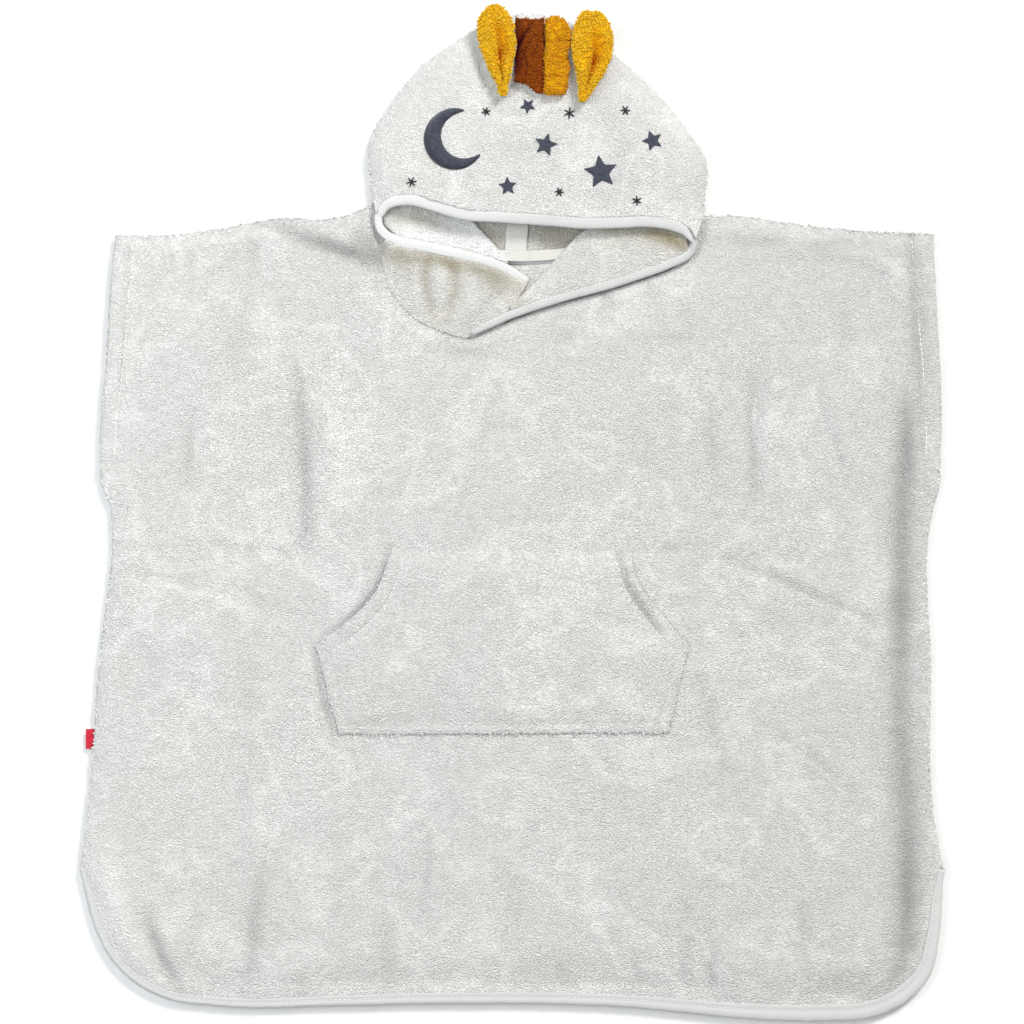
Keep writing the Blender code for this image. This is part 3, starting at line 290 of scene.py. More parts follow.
# painted shade on the front: its folds, seams, sleeve bands and beside the pocket, with painted highlights
# below nought
FRONT_SHADING = painted_shade_rows(
    (8.4, 0.28, 276.5, 78.4, 275.1, 43.4, 273, 8.4, 273, -33.6, 272.3, -68.6, 271.6, -96.6),
    (
        9.8, 0.25, 271.6, -61.6, 271.6, -117.6, 273.7, -173.6, 276.5, -222.6, 277.2, -257.6, 275.8, -299.6,
        268.8, -331.1, 257.6, -341.6,
    ),
    (6.3, 0.14, 280, 196, 282.1, 155.4, 284.9, 120.4, 287, 85.4),
    (5.6, 0.1, 274.4, 78.4, 277.2, 50.4, 280, 22.4),
    (4.9, 0.12, 142.1, 190.4, 194.6, 188.3, 243.6, 187.6, 275.1, 183.4),
    (4.2, 0.15, 167.3, 99.4, 168, 50.4, 169.4, -5.6),
    (4.2, -0.04, 179.2, 88.9, 179.9, 50.4, 181.3, 4.9),
    (5.6, 0.08, 140, 81.9, 140, 50.4, 142.8, 15.4),
    (5.3, 0.22, -150.5, 99.4, -147, 64.4, -144.2, 22.4, -143.5, -23.1),
    (7, -0.06, -123.2, 99.4, -120.4, 50.4, -122.5, 1.4),
    (5.6, 0.1, -228.2, 67.9, -225.4, 43.4, -226.8, 18.9),
    (6.3, 0.25, -170.8, 203, -148.4, 193.2, -127.4, 185.5, -106.4, 179.9),
    (7.7, 0.22, -127.4, 185.5, -99.4, 177.8, -78.4, 168, -67.9, 158.9),
    (7, 0.2, -112, 203, -100.8, 190.4, -86.8, 179.2),
    (2.8, -0.05, -166.6, 203, -168, 186.9, -165.2, 175),
    (4.2, 0.08, -221.9, 191.8, -223.3, 179.9, -226.8, 165.9),
    (4.9, 0.09, -179.9, 196, -180.6, 182, -177.8, 168),
    (2.1, 0.07, -275.8, -43.4, -218.4, -46.2, -175, -58.8, -144.9, -75.6),
    (3.5, 0.04, -275.8, -23.1, -218.4, -23.1, -155.4, -25.2),
    (6.3, 0.15, -175, -250.6, -179.2, -289.1, -185.5, -331.1),
    (5.6, 0.1, -86.8, -289.1, -86.1, -313.6, -85.4, -336),
    (3.5, 0.08, -56, -226.1, -58.8, -250.6, -64.4, -282.1),
    (4.9, 0.24, -256.2, -280, -246.4, -306.6, -232.4, -336.7),
    (4.2, 0.1, -60.9, 114.8, -39.9, 112.7, -15.4, 113.4),
    (4.9, 0.07, 23.1, 125.3, 44.1, 121.8),
    (4.2, 0.06, 89.6, 121.8, 131.6, 123.2),
    (3.5, 0.14, 61.6, 154, 70, 147),
    (2.4, 0.16, -22.4, 128.8, 19.6, 140.7, 61.6, 152.6, 96.6, 163.1, 126, 174.3),
    (2.8, 0.1, 168, -28.7, 201.6, -53.2, 236.6, -68.6, 260.4, -79.8),
    (2.8, 0.06, 151.2, -58.8, 180.6, -70, 201.6, -81.2),
    (4.2, 0.03, 89.6, -25.2, 173.6, -28, 257.6, -30.8),
    (2.8, 0.09, 191.1, -168, 226.1, -193.2, 257.6, -217),
    (6.3, 0.08, 129.5, -89.6, 133.7, -124.6, 147, -170.1, 165.2, -205.1),
    (6.3, -0.03, 175, -89.6, 179.2, -131.6),
    (4.9, 0.09, 202.3, -268.1, 203.7, -292.6, 201.6, -317.1),
    (5.6, 0.08, 121.1, -264.6, 123.2, -299.6, 119.7, -334.6),
    (4.9, 0.13, 138.6, -303.1, 140, -324.1, 142.8, -341.6),
    (5.6, -0.04, 163.1, -310.1, 165.2, -341.6),
    (9.8, 0.12, 212.1, -331.1, 233.1, -329, 257.6, -331.1),
    (9.1, -0.06, -269.5, 186.2, -270.2, 127.4, -273.7, 78.4, -276.5, 22.4),
    (9.1, -0.12, -282.8, -236.6, -277.2, -275.1, -261.8, -306.6, -246.4, -324.1),
    (3.2, 0.34, -84.7, -23.8, -90.3, -44.1, -99.4, -60.2, -113.4, -73.5, -130.9, -86.8),
    (2.4, 0.26, -139.3, -93.1, -133, -124.6, -123.2, -158.2),
    (1.8, 0.1, -268.1, 186.9, -269.8, 135.8, -273.7, 87.5, -277.9, 42),
    (1.8, 0.09, 279.7, 198.8, 278.9, 161.7, 282.1, 119.7, 286.1, 71.4, 290.2, 12.6),
    (11.2, 0.05, -75.6, 183.4, -92.4, 175, -98, 158.9),
    (7, 0.04, -183.4, -89.6, -184.8, -131.6, -182, -173.6),
    (5.6, -0.03, -214.9, -131.6, -218.4, -173.6),
    (8.4, 0.05, 5.6, -222.6, 2.8, -257.6, 5.6, -292.6),
    (8.4, -0.03, 54.6, -236.6, 57.4, -292.6),
    (6.3, 0.05, -120.4, -215.6, -123.2, -257.6, -120.4, -299.6),
    (5.6, 0.08, -148.4, -313.6, -145.6, -334.6),
    (5.6, 0.08, 33.6, -310.1, 37.8, -334.6),
    (4.9, 0.09, 89.6, -303.1, 86.8, -334.6),
    (1.8, 0.2, -277.9, 191.8, -282.1, 144.2, -284.2, 103.6, -287.3, 71.4, -288.8, 36.4),
    (
        1.8, 0.16, -280.7, 4.2, -280, -19.6, -282.1, -49.7, -289.1, -105, -294.4, -178.5, -298.2, -215.6,
        -301.7, -249.9,
    ),
    (3.5, -0.09, -293.3, -247.1, -288.4, -275.1, -275.8, -303.1, -256.2, -324.1, -225.4, -332.5),
    (3.5, -0.09, -225.4, -332.5, -127.4, -331.8, -36.4, -331.8, 75.6, -333.2, 173.6, -337.4),
    (3.5, -0.05, 173.6, -335.3, 222.6, -340.2, 257.6, -338.1, 275.1, -324.1, 287, -299.6, 292.6, -257.6),
    (7, 0.1, 275.8, -229.6, 276.5, -271.6, 273.7, -306.6, 264.6, -334.6),
    (9.8, 0.03, 33.6, 78.4, 28, 43.4, 33.6, 8.4),
    (8.4, 0.03, -43.4, 64.4, -46.2, 29.4),
    (8.4, 0.03, 89.6, 64.4, 95.2, 22.4),
    (8.4, 0.04, -190.4, 148.4, -193.2, 106.4),
    (9.8, 0.03, 233.1, 148.4, 236.6, 113.4),
)
# painted shade beside the pocket's openings and top, and a painted highlight on a rim
POCKET_SHADING = painted_shade_rows(
    (3.5, 0.32, 74.2, -25.2, 79.8, -47.6, 90.3, -65.1, 109.2, -93.1),
    (4.2, -0.06, 81.9, -25.2, 89.6, -46.2, 100.8, -63, 119, -89.6),
    (2.8, 0.08, 33.6, -64.4, 58.1, -70, 81.2, -74.2),
    (2.4, -0.05, -78.4, -27.3, -8.4, -28, 68.6, -26.6),
)
# painted shade on the hood's face panel: its left edge, a crease and soft hollows, with painted highlights
# below nought
FACE_SHADING = painted_shade_rows(
    (11.2, 0.08, 81.2, 260.4, 77, 232.4, 79.1, 210),
    (5.6, 0.04, 61.6, 235.9, 60.2, 211.4),
    (5.6, 0.1, -102.2, 221.2, -102.2, 253.4, -92.4, 281.4, -74.9, 305.9),
    (2.8, 0.14, -23.8, 326.9, -20.3, 309.4, -16.1, 291.9),
    (9.8, 0.05, -15.4, 260.4, 12.6, 254.8, 47.6, 256.9),
    (8.4, 0.05, 63, 298.9, 70, 267.4),
    (8.4, -0.05, -35, 291.9, -35, 225.4),
    (23.8, -0.05, -78.4, 281.4, -67.9, 232.4),
    (15.4, 0.05, 103.6, 281.4, 112, 225.4),
)
# painted shadow under the left lip and in the left flap's gathers, with painted highlights on its ridges
LEFT_FLAP_SHADING = painted_shade_rows(
    (
        4.9, 0.34, -89.6, 184.8, -75.6, 179.9, -57.4, 177.1, -39.9, 173.6, -22.4, 168.7, -8.4, 164.5, 5.6,
        157.5,
    ),
    (6.3, 0.22, -90.3, 179.2, -78.4, 175, -65.8, 169.4),
    (3.5, 0.28, -57.8, 178.5, -60.2, 168, -58.8, 149.8, -53.2, 133),
    (4.6, 0.28, -48.3, 177.1, -39.9, 166.6, -38.9, 157.5, -42.3, 147, -46.2, 135.1),
    (7.7, 0.2, -22.4, 164.5, -8.4, 157.5, 5.6, 152.6),
    (4.2, -0.09, -26.6, 161, -26.6, 138.6),
    (2.8, -0.1, -50.4, 158.2, -48.3, 144.2),
    (4.2, -0.06, -70, 162.4, -63.7, 144.2),
)
# painted shade in the right flap's corner under the lip
RIGHT_FLAP_SHADING = painted_shade_rows(
    (6.3, 0.55, 89.6, 196, 109.2, 191.8, 126, 183.4),
    (4.9, 0.22, 56, 196, 89.6, 195.3),
    (4.2, 0.12, 5.6, 154, 0, 141.4),
)
# painted shade under the upper lip on the folded layers, and a painted highlight beside their fold
INSIDE_SHADING = painted_shade_rows(
    (6.3, 0.4, -89.6, 203, -78.4, 206.5, -64.4, 205.8, -46.9, 200.2),
    (2.8, -0.06, -29.4, 200.2, -18.2, 187.6, -4.9, 175),
)
# painted shade in the deep part of the hood
DEEP_SHADING = painted_shade_rows(
    (6.3, 0.3, -26.6, 203, -15.4, 193.2, -8.4, 180.6),
    (4.9, 0.22, 49, 196, 37.8, 184.8, 28, 177.8),
    (4.2, 0.16, -8.4, 196, 19.6, 196.7, 47.6, 195.3),
    (9.8, 0.18, 16.1, 190.4, 40.6, 188.3),
)
LEFT_FLAP_FOLDS = fold_rows(
    (4.2, -1.9, -57.8, 178.5, -60.2, 168, -58.8, 149.8, -53.2, 133),
    (4.4, -1.9, -48.3, 177.1, -39.9, 166.6, -39.2, 157.5, -46.2, 135.1),
    (3.4, 1.2, -51.1, 172, -49, 150),
    (5, 1.2, -68.6, 175, -64.4, 148.4),
    (5, 1.4, -26.6, 168, -28, 138.6),
    (4, -0.8, -11.2, 159.6, -16.8, 135.8),
)
RIGHT_FLAP_FOLDS = fold_rows(
    (4, -0.8, 51, 156, 59, 170, 68, 186),
    (5, -0.7, 86, 168, 90, 190),
    (4, 0.6, 20, 145, 33, 162),
    (4.5, 0.8, 98, 176, 106, 195),
)
FACE_FOLDS = fold_rows(
    (4, -1.2, -23.8, 326.9, -21.5, 312, -17.5, 295.4),
    (9, -1, 64, 270, 66.5, 240, 65, 208),
    (11, 0.7, -20, 256, -22, 230, -18, 210),
    (9, 0.6, 96, 260, 106, 230),
    (8, 0.6, -68, 290, -76, 260),
    (4, -0.8, 68, 313, 56, 296),
)
EARS = (  # rows from the base up: y, x of the middle and half width
    Ear(
        "left",
        metres((
            (289.5, -6.3, 1), (290.9, -6.3, 1.5), (300, -6.8, 4.1), (309, -8.5, 7.6), (318, -9.5, 10.1),
            (325, -10, 11.9), (333.4, -10.9, 12.3), (342.4, -11.8, 11.1), (348, -11.9, 8.5),
            (351.1, -12.1, 5.7), (352.8, -12.2, 3.2), (353.4, -12.2, 1),
        )),
    ),
    Ear(
        "right",
        metres((
            (285.3, 48.7, 1), (288.1, 49.4, 2.1), (293.7, 51, 4.3), (300.6, 53.2, 7.1),
            (307.6, 54.8, 10.2), (314.6, 55.9, 12.4), (325, 55.9, 13.7), (335.4, 56.1, 12.7),
            (342.4, 55.7, 10.4), (346.6, 55.3, 7.3), (348.3, 55.1, 4.2), (349, 55, 1),
        )),
    ),
)
EAR_BACK_SHIFT = np.array((0.0008, -0.0008))
EAR_BACK_GROWTH = 0.0005
CREST = (
    Tab("brown", "brown", 0.0022, 0.0222, 0.2911, 0.3446, 0.0050),
    Tab("yellow", "mustard", 0.0226, 0.0410, 0.2902, 0.3462, 0.0060),
)
TAB_FEET = {  # places across, and how far the lower edge is up there
    "brown": ((-1.0, -0.1, 0.5, 1.0), (0.0083, 0.0063, 0.0004, 0.0)),
    "yellow": ((-1.0, -0.8, 0.8, 1.0), (0.0010, 0.0, 0.0, 0.0010)),
}
TAB_HEADS = {  # the same for the upper edge
    "brown": ((-1.0, -0.86, 0.86, 1.0), (0.0018, -0.0004, -0.0002, 0.0010)),
    "yellow": ((-1.0, -0.3, 0.3, 1.0), (-0.0026, 0.0, -0.0002, -0.0036)),
}
YELLOW_SIDE = (  # y and x of the yellow tab's lobed right side
    (0.2893, 0.2935, 0.3019, 0.3144, 0.3200, 0.3249, 0.3354, 0.3396, 0.3431),
    (0.0362, 0.0384, 0.0398, 0.0398, 0.0380, 0.0405, 0.0412, 0.0388, 0.0370),
)
YELLOW_VALLEYS = ((0.3276, 0.0002), (0.3160, -0.0016), (0.3028, -0.0004))  # y, and its change across
# painted shade in the brown tab's creases and along its edges
BROWN_SHADING = painted_shade_rows(
    (3.2, 0.5, 3.5, 333.4, 3.1, 320.1, 4.2, 306.2),
    (1.8, 0.55, 4.5, 322.9, 9, 332.7, 13.2, 338.9),
    (1, 0.45, 6.3, 313.2, 11.1, 324.3, 15.3, 332),
    (1, 0.35, 8.4, 320.1, 10.4, 311.8, 9, 302),
    (1, 0.28, 13.2, 314.6, 16.7, 322.9, 18.1, 332.7),
    (0.8, 0.45, 21.2, 341, 20.9, 318, 20.2, 293.7),
    (0.8, 0.45, 4.2, 341.7, 12.5, 340.7, 20.9, 341.7),
    (1, 0.4, 4.9, 296.5, 11.8, 294.4, 16.7, 288.8),
)
# painted shade along the yellow tab's rolled edge and folds
YELLOW_SHADING = painted_shade_rows(
    (0.8, 0.6, 24, 343.1, 23.7, 331.3, 22.6, 319.4),
    (0.9, 0.6, 40, 324.3, 39, 319.4, 40, 306.2),
    (0.9, 0.45, 37.6, 297.9, 36.9, 289.5),
    (1.1, 0.3, 27.1, 336.8, 30.6, 332, 33.4, 324.3),
)
MOON_CENTRE = np.array((-0.0400, 0.2600))
MOON_RADIUS = 0.0215
MOON_OPENING = 52
MOON_WIDTH = 0.0125
MOON_TURN = 200
MOON_FULLNESS = 0.8
STARS = (
    Star(0.0620, 0.2370, 0.0125, 8),
    Star(0.0235, 0.2560, 0.0085, -14),
    Star(0.0980, 0.2590, 0.0078, 20),
    Star(-0.0030, 0.2270, 0.0068, 4),
    Star(0.0110, 0.2830, 0.0058, 30),
)
SPARKLES = (  # places, sizes and turns of the small thread crosses
    Star(-0.0700, 0.2300, 0.0040, 10),
    Star(0.0400, 0.2780, 0.0046, 25),
    Star(0.0330, 0.2230, 0.0036, -8),
    Star(0.0870, 0.2170, 0.0038, 32),
    Star(-0.0180, 0.2790, 0.0036, 15),
    Star(0.0790, 0.2800, 0.0040, 0),
)
LABEL_Y = (-0.1660, -0.1520)
LABEL_REACH = 0.0055
LABEL_THICKNESS = 0.0012
NECK_TAPE = metres(((-10, 180), (2, 179.2), (18, 179.4), (40, 181.5)))
NECK_TAPE_WIDTH = 0.0078

SMALL_CELLS = (0.0, 0.0005, 0.0013, 0.0027)  # cells at a rounded edge
EDGE_RADIUS = 0.0013
BORDER = 9  # rows beside an edge in which the distance to it matters
NAP = 0.00030
RAGGED = 0.0004  # how far the outline of cloth strays
LAID_RAGGED = 0.0003  # the same where it is sewn down
RAGGED_REACH = 0.003  # how far in from its outline cloth is ragged
NAP_REACH = 0.004  # how far in from it the nap has its full height

# ---------------------------------------------------------------- curves and grids of points


def eased(value):
    """0 up to 0, 1 from 1 on, and smooth between."""
    value = np.clip(value, 0.0, 1.0)
    return value * value * (3 - 2 * value)


def bell(value):
    return np.exp(-(value**2))


def even(count):
    return np.linspace(0.0, 1.0, count + 1)


def reach_of(path):
    """Length along a path at each of its points."""
    return np.concatenate(([0.0], np.cumsum(np.linalg.norm(np.diff(path, axis=0), axis=1))))


def along(path, shares):
    """Points at some shares of a path's length."""
    path = np.asarray(path, float)
    reach = reach_of(path)
    wanted = np.asarray(shares) * reach[-1]
    return np.stack([np.interp(wanted, reach, column) for column in path.T], axis=1)


def smooth(spots, shares):
    """Points at some shares of the length of the smooth curve through some spots."""
    knots = np.array(spots, float)
    if len(knots) > 2:
        steps = np.diff(knots, axis=0)
        gaps = np.linalg.norm(steps, axis=1)[:, None]
        slopes = steps / gaps
        inner = (slopes[:-1] * gaps[1:] + slopes[1:] * gaps[:-1]) / (gaps[:-1] + gaps[1:])
        tangents = np.vstack((slopes[:1], inner, slopes[-1:]))
        t = np.linspace(0, 1, FINE, endpoint=False)[None, :, None]
        start, stop = knots[:-1, None], knots[1:, None]
        leave, arrive = (tangents[:-1] * gaps)[:, None], (tangents[1:] * gaps)[:, None]
        dense = (
            start * (2 * t**3 - 3 * t**2 + 1)
            + leave * (t**3 - 2 * t**2 + t)
            + stop * (3 * t**2 - 2 * t**3)
            + arrive * (t**3 - t**2)
        )
        knots = np.vstack((dense.reshape(-1, knots.shape[1]), knots[-1:]))
    return along(knots, shares)


def joined(*paths):
    return np.vstack([paths[0]] + [path[1:] for path in paths[1:]])


def sideways(path):
    """Unit vectors in plan, square to a path and to its left."""
    padded = np.vstack((path[:1], path, path[-1:]))
    ahead = padded[2:, :2] - padded[:-2, :2]
    left = np.stack((-ahead[:, 1], ahead[:, 0]), axis=1)
    return left / np.maximum(np.linalg.norm(left, axis=1), 1e-12)[:, None]


def moved_left(path, distance):
    """A plan path moved to its left by a distance, or by one for each point."""
    reach = np.broadcast_to(distance, len(path))[:, None]
    return path[:, :2] + sideways(path) * reach


def nearest(points, path):
    """Plan distance from each point to a path, and the share of the path's length at its nearest spot."""
    reach = reach_of(path[:, :2])
    best = np.full(len(points), np.inf)
    where = np.zeros(len(points))
    for i, start in enumerate(path[:-1, :2]):
        ahead = path[i + 1, :2] - start
        part = np.clip((points - start) @ ahead / max(ahead @ ahead, 1e-18), 0, 1)
        away = np.linalg.norm(points - start - part[:, None] * ahead, axis=1)
        closer = away < best
        best[closer] = away[closer]
        where[closer] = (reach[i] + part[closer] * (reach[i + 1] - reach[i])) / reach[-1]
    return best, where


def folds(points, table):
    """Height of soft troughs and ridges that fade towards their ends."""
    total = np.zeros(len(points))
    for fold in table:
        away, where = nearest(points, smooth(fold.path, even(10)))
        fade = np.sin(np.pi * np.clip(where, 0.04, 0.96)) ** 0.45
        total += fold.height * bell(away / fold.width) * fade
    return total


def over(grid, table):
    """What a table of folds, or of stretches of painted shade, adds up to at each point of a grid."""
    return folds(grid.reshape(-1, grid.shape[-1])[:, :2], table).reshape(grid.shape[:2])


def uneven(points, size, seed):
    """Smooth random swells between -1 and 1, each of about that size."""
    table = np.random.RandomState(seed).uniform(-1, 1, (64, 64))
    cell = points[..., :2] / size
    i, j = np.floor(cell[..., 0]).astype(int), np.floor(cell[..., 1]).astype(int)
    s, t = eased(cell[..., 0] - i), eased(cell[..., 1] - j)
    rows = (j % 64, (j + 1) % 64)
    low, high = (table[i % 64, row] * (1 - s) + table[(i + 1) % 64, row] * s for row in rows)
    return low * (1 - t) + high * t


def cells(length, count, first=True, last=True):
    """Shares that cut a length into cells, which are small at the ends that are rounded."""
    head = np.array(SMALL_CELLS if first else (0.0,))
    tail = length - np.array(SMALL_CELLS if last else (0.0,))[::-1]
    middle = np.linspace(head[-1], tail[0], max(count - len(head) - len(tail) + 2, 1) + 1)
    return np.concatenate((head[:-1], middle, tail[1:])) / length


def run(paths, counts):
    """One edge of a grid: each stretch has its own number of cells, so that its corners stay sharp."""
    stretches = []
    for number, (path, count) in enumerate(zip(paths, counts)):
        length = reach_of(path)[-1]
        shares = cells(length, count, number == 0, number == len(paths) - 1)
        stretches.append(along(path, shares))
    return joined(*stretches)


def shares_of(path):
    reach = reach_of(path[:, :2])
    return reach / reach[-1]


def filled(bottom, top, left, right):
    """Grid of plan points that fills four edge curves, rows from bottom to top."""
    u = ((shares_of(bottom) + shares_of(top)) / 2)[None, :, None]
    v = ((shares_of(left) + shares_of(right)) / 2)[:, None, None]
    edges = (1 - v) * bottom + v * top + (1 - u) * left[:, None] + u * right[:, None]
    corners = (1 - v) * ((1 - u) * bottom[0] + u * bottom[-1]) + v * ((1 - u) * top[0] + u * top[-1])
    return edges - corners


def rim_of(grid):
    """The closed outline of a grid, counter-clockwise."""
    return np.concatenate((grid[0], grid[1:, -1], grid[-1, -2::-1], grid[-2::-1, 0]))


def between(low, high, shares):
    """Grid between two edges, with straight sides."""
    left, right = (along(np.array((low[end], high[end])), shares) for end in (0, -1))
    return filled(low, high, left, right)


def flat(height):
    """A level height function."""
    return lambda points: np.full(len(points), height)


def lifted(plan, height):
    """Plan points with a height, or one for each of them, or a height function of them."""
    level = height(plan.reshape(-1, 2)).reshape(plan.shape[:-1]) if callable(height) else height
    return np.concatenate((plan, np.broadcast_to(level, plan.shape[:-1])[..., None]), axis=-1)


def normals_of(grid):
    normal = np.cross(np.gradient(grid, axis=1), np.gradient(grid, axis=0))
    size = np.linalg.norm(normal, axis=-1, keepdims=True)
    return np.where(size > 1e-12, normal / np.maximum(size, 1e-12), (0.0, 0.0, 1.0))


# ---------------------------------------------------------------- meshes


def mesh_piece(name, points, faces, finish, ribbon=None, painted_shade_and_tone=None):
    """A mesh object at the origin, with one material. A piece that stands for a solid adds to its name.

    ribbon is its map in metres, and the last argument says how much darker each point is painted: mostly
    painted shade and shadow where shade falls, below nought a painted highlight, and on a few pieces some
    tone of their own.
    """
    name = f"{name}_cloth" if name in frame["nodes"] else name
    mesh = bpy.data.meshes.new(name)
    mesh.from_pydata([tuple(point) for point in points], [], faces)
    mesh.update()
    mesh.materials.append(finish)
    if ribbon is not None:
        layer = mesh.uv_layers.new(name="cloth")
        corner = np.empty(len(mesh.loops), np.int32)
        mesh.loops.foreach_get("vertex_index", corner)
        layer.data.foreach_set("uv", np.asarray(ribbon, float)[corner].ravel())
    # painted shade, kept on each point for the materials to read
    if painted_shade_and_tone is not None:
        layer = mesh.attributes.new("painted_shade_and_tone", "FLOAT", "POINT")
        layer.data.foreach_set("value", np.concatenate((painted_shade_and_tone.ravel(), np.zeros(len(points) - painted_shade_and_tone.size))))
    mesh.shade_smooth()
    obj = bpy.data.objects.new(name, mesh)
    bpy.context.scene.collection.objects.link(obj)
    return obj


def closed_sheet(name, upper, lower, finish, step, painted_shade_and_tone):
    """Closed sheet from a fine upper grid and a lower one that is coarse away from the shared outline."""
    rows, columns = upper.shape[0] - 1, upper.shape[1] - 1
    index = np.arange((rows + 1) * (columns + 1)).reshape(rows + 1, columns + 1)
    points = list(upper.reshape(-1, 3))
    under = index.copy()
    row_lines = [*range(0, rows, step), rows]
    column_lines = [*range(0, columns, step), columns]
    for r in row_lines[1:-1]:
        for c in column_lines[1:-1]:
            under[r, c] = len(points)
            points.append(lower[r, c])
    quads = np.stack((index[:-1, :-1], index[:-1, 1:], index[1:, 1:], index[1:, :-1]), axis=-1)
    faces = quads.reshape(-1, 4).tolist()
    for r, above in zip(row_lines, row_lines[1:]):
        for c, beyond in zip(column_lines, column_lines[1:]):
            ring = [(r, k) for k in (range(c, beyond) if r == 0 else [c])]
            ring += [(k, beyond) for k in (range(r, above) if beyond == columns else [r])]
            ring += [(above, k) for k in (range(beyond, c, -1) if above == rows else [beyond])]
            ring += [(k, c) for k in (range(above, r, -1) if c == 0 else [above])]
            faces.append([int(under[spot]) for spot in reversed(ring)])
    return mesh_piece(name, points, faces, finish, painted_shade_and_tone=painted_shade_and_tone)


def border_distance(plan):
    """Distance of each grid point to the grid's outline, as far as it matters, and far beyond that."""
    near = np.ones(plan.shape[:2], bool)
    near[BORDER:-BORDER, BORDER:-BORDER] = False
    away = np.full(plan.shape[:2], 1.0)
    away[near] = nearest(plan[near], rim_of(plan))[0]
    return away


def rounded(away, radius):
    """Share of a wall's thickness that is there at a distance from its edge."""
    return np.sqrt(1 - (1 - np.clip(away / radius, 0, 1)) ** 2)


def tight_at(plan, line, radius=EDGE_RADIUS, tight=0.0006, near=0.0045):
    """Edge radius for each grid point: small beside a seam line, where two cloths butt."""
    away = nearest(plan.reshape(-1, 2), line)[0].reshape(plan.shape[:2])
    return np.where(away < near, tight, radius)


def frayed(grid, ragged, nap, seed):
    """A grid with a slightly ragged outline, each point's distance to that, and the swells of its nap."""
    away = border_distance(grid[..., :2])
    grid = grid.copy()
    loose = ragged * (1 - eased(away / RAGGED_REACH))
    grid[..., 0] += uneven(grid, 0.0041, seed + 50) * loose
    grid[..., 1] += uneven(grid, 0.0037, seed + 51) * loose
    pile = uneven(grid, 0.0068, seed) * 0.7 + uneven(grid, 0.0047, seed + 1) * 0.5
    return grid, away, nap * pile * eased(away / NAP_REACH)


def cloth(name, middle, wall, finish, nap=NAP, seed=1, step=4, radius=EDGE_RADIUS, ragged=RAGGED, painted_shade_and_tone=None):
    """Closed wall of cloth about a middle surface, with a soft nap and a rounded, slightly ragged edge."""
    middle, away, pile = frayed(middle, ragged, nap, seed)
    normal = normals_of(middle)
    half = (wall / 2 * rounded(away, radius))[..., None]
    upper, lower = middle + normal * (half + pile[..., None]), middle - normal * half
    return closed_sheet(name, upper, lower, finish, step, painted_shade_and_tone)


def laid_cloth(name, base, wall, finish, seed, radius, painted_shade_and_tone):
    """Cloth sewn down on what is under it: its underside is flat and its edge rounds down to that."""
    base, away, pile = frayed(base, LAID_RAGGED, NAP, seed)
    height = (wall * rounded(away, radius) + pile)[..., None]
    return closed_sheet(name, base + normals_of(base) * height, base, finish, 4, painted_shade_and_tone)


def skin(index):
    """Quads between neighbouring rings of points, of one tube or of many."""
    following = np.roll(index, -1, axis=-1)
    corners = index[..., :-1, :], following[..., :-1, :], following[..., 1:, :], index[..., 1:, :]
    return np.stack(corners, axis=-1).reshape(-1, 4).tolist()


def tube(name, rings, finish, painted_shade_and_tone=None):
    """Closed tube through rings of points, with a flat face at each end and a map in metres."""
    count, sides = rings.shape[:2]
    index = np.arange(count * sides).reshape(count, sides)
    faces = skin(index) + [index[0][::-1].tolist(), index[-1].tolist()]
    lengths = reach_of(rings.mean(axis=1))
    girth = reach_of(rings[count // 2])
    ribbon = np.stack(np.meshgrid(lengths, girth, indexing="ij"), axis=-1).reshape(-1, 2)
    return mesh_piece(name, rings.reshape(-1, 3), faces, finish, ribbon, painted_shade_and_tone)


def outwards(obj):
    """Turns a closed mesh the right way round."""
    bm = bmesh.new()
    bm.from_mesh(obj.data)
    if bm.calc_volume(signed=True) < 0:
        bmesh.ops.reverse_faces(bm, faces=bm.faces)
        bm.to_mesh(obj.data)
    bm.free()
    return obj


def finished(obj, slot, *nodes):
    """The piece rides with the poncho and stands for its solids; slot is not used."""
    outwards(obj)
    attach(obj, "root")
    if nodes:
        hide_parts(*nodes)
    return obj


# ---------------------------------------------------------------- materials


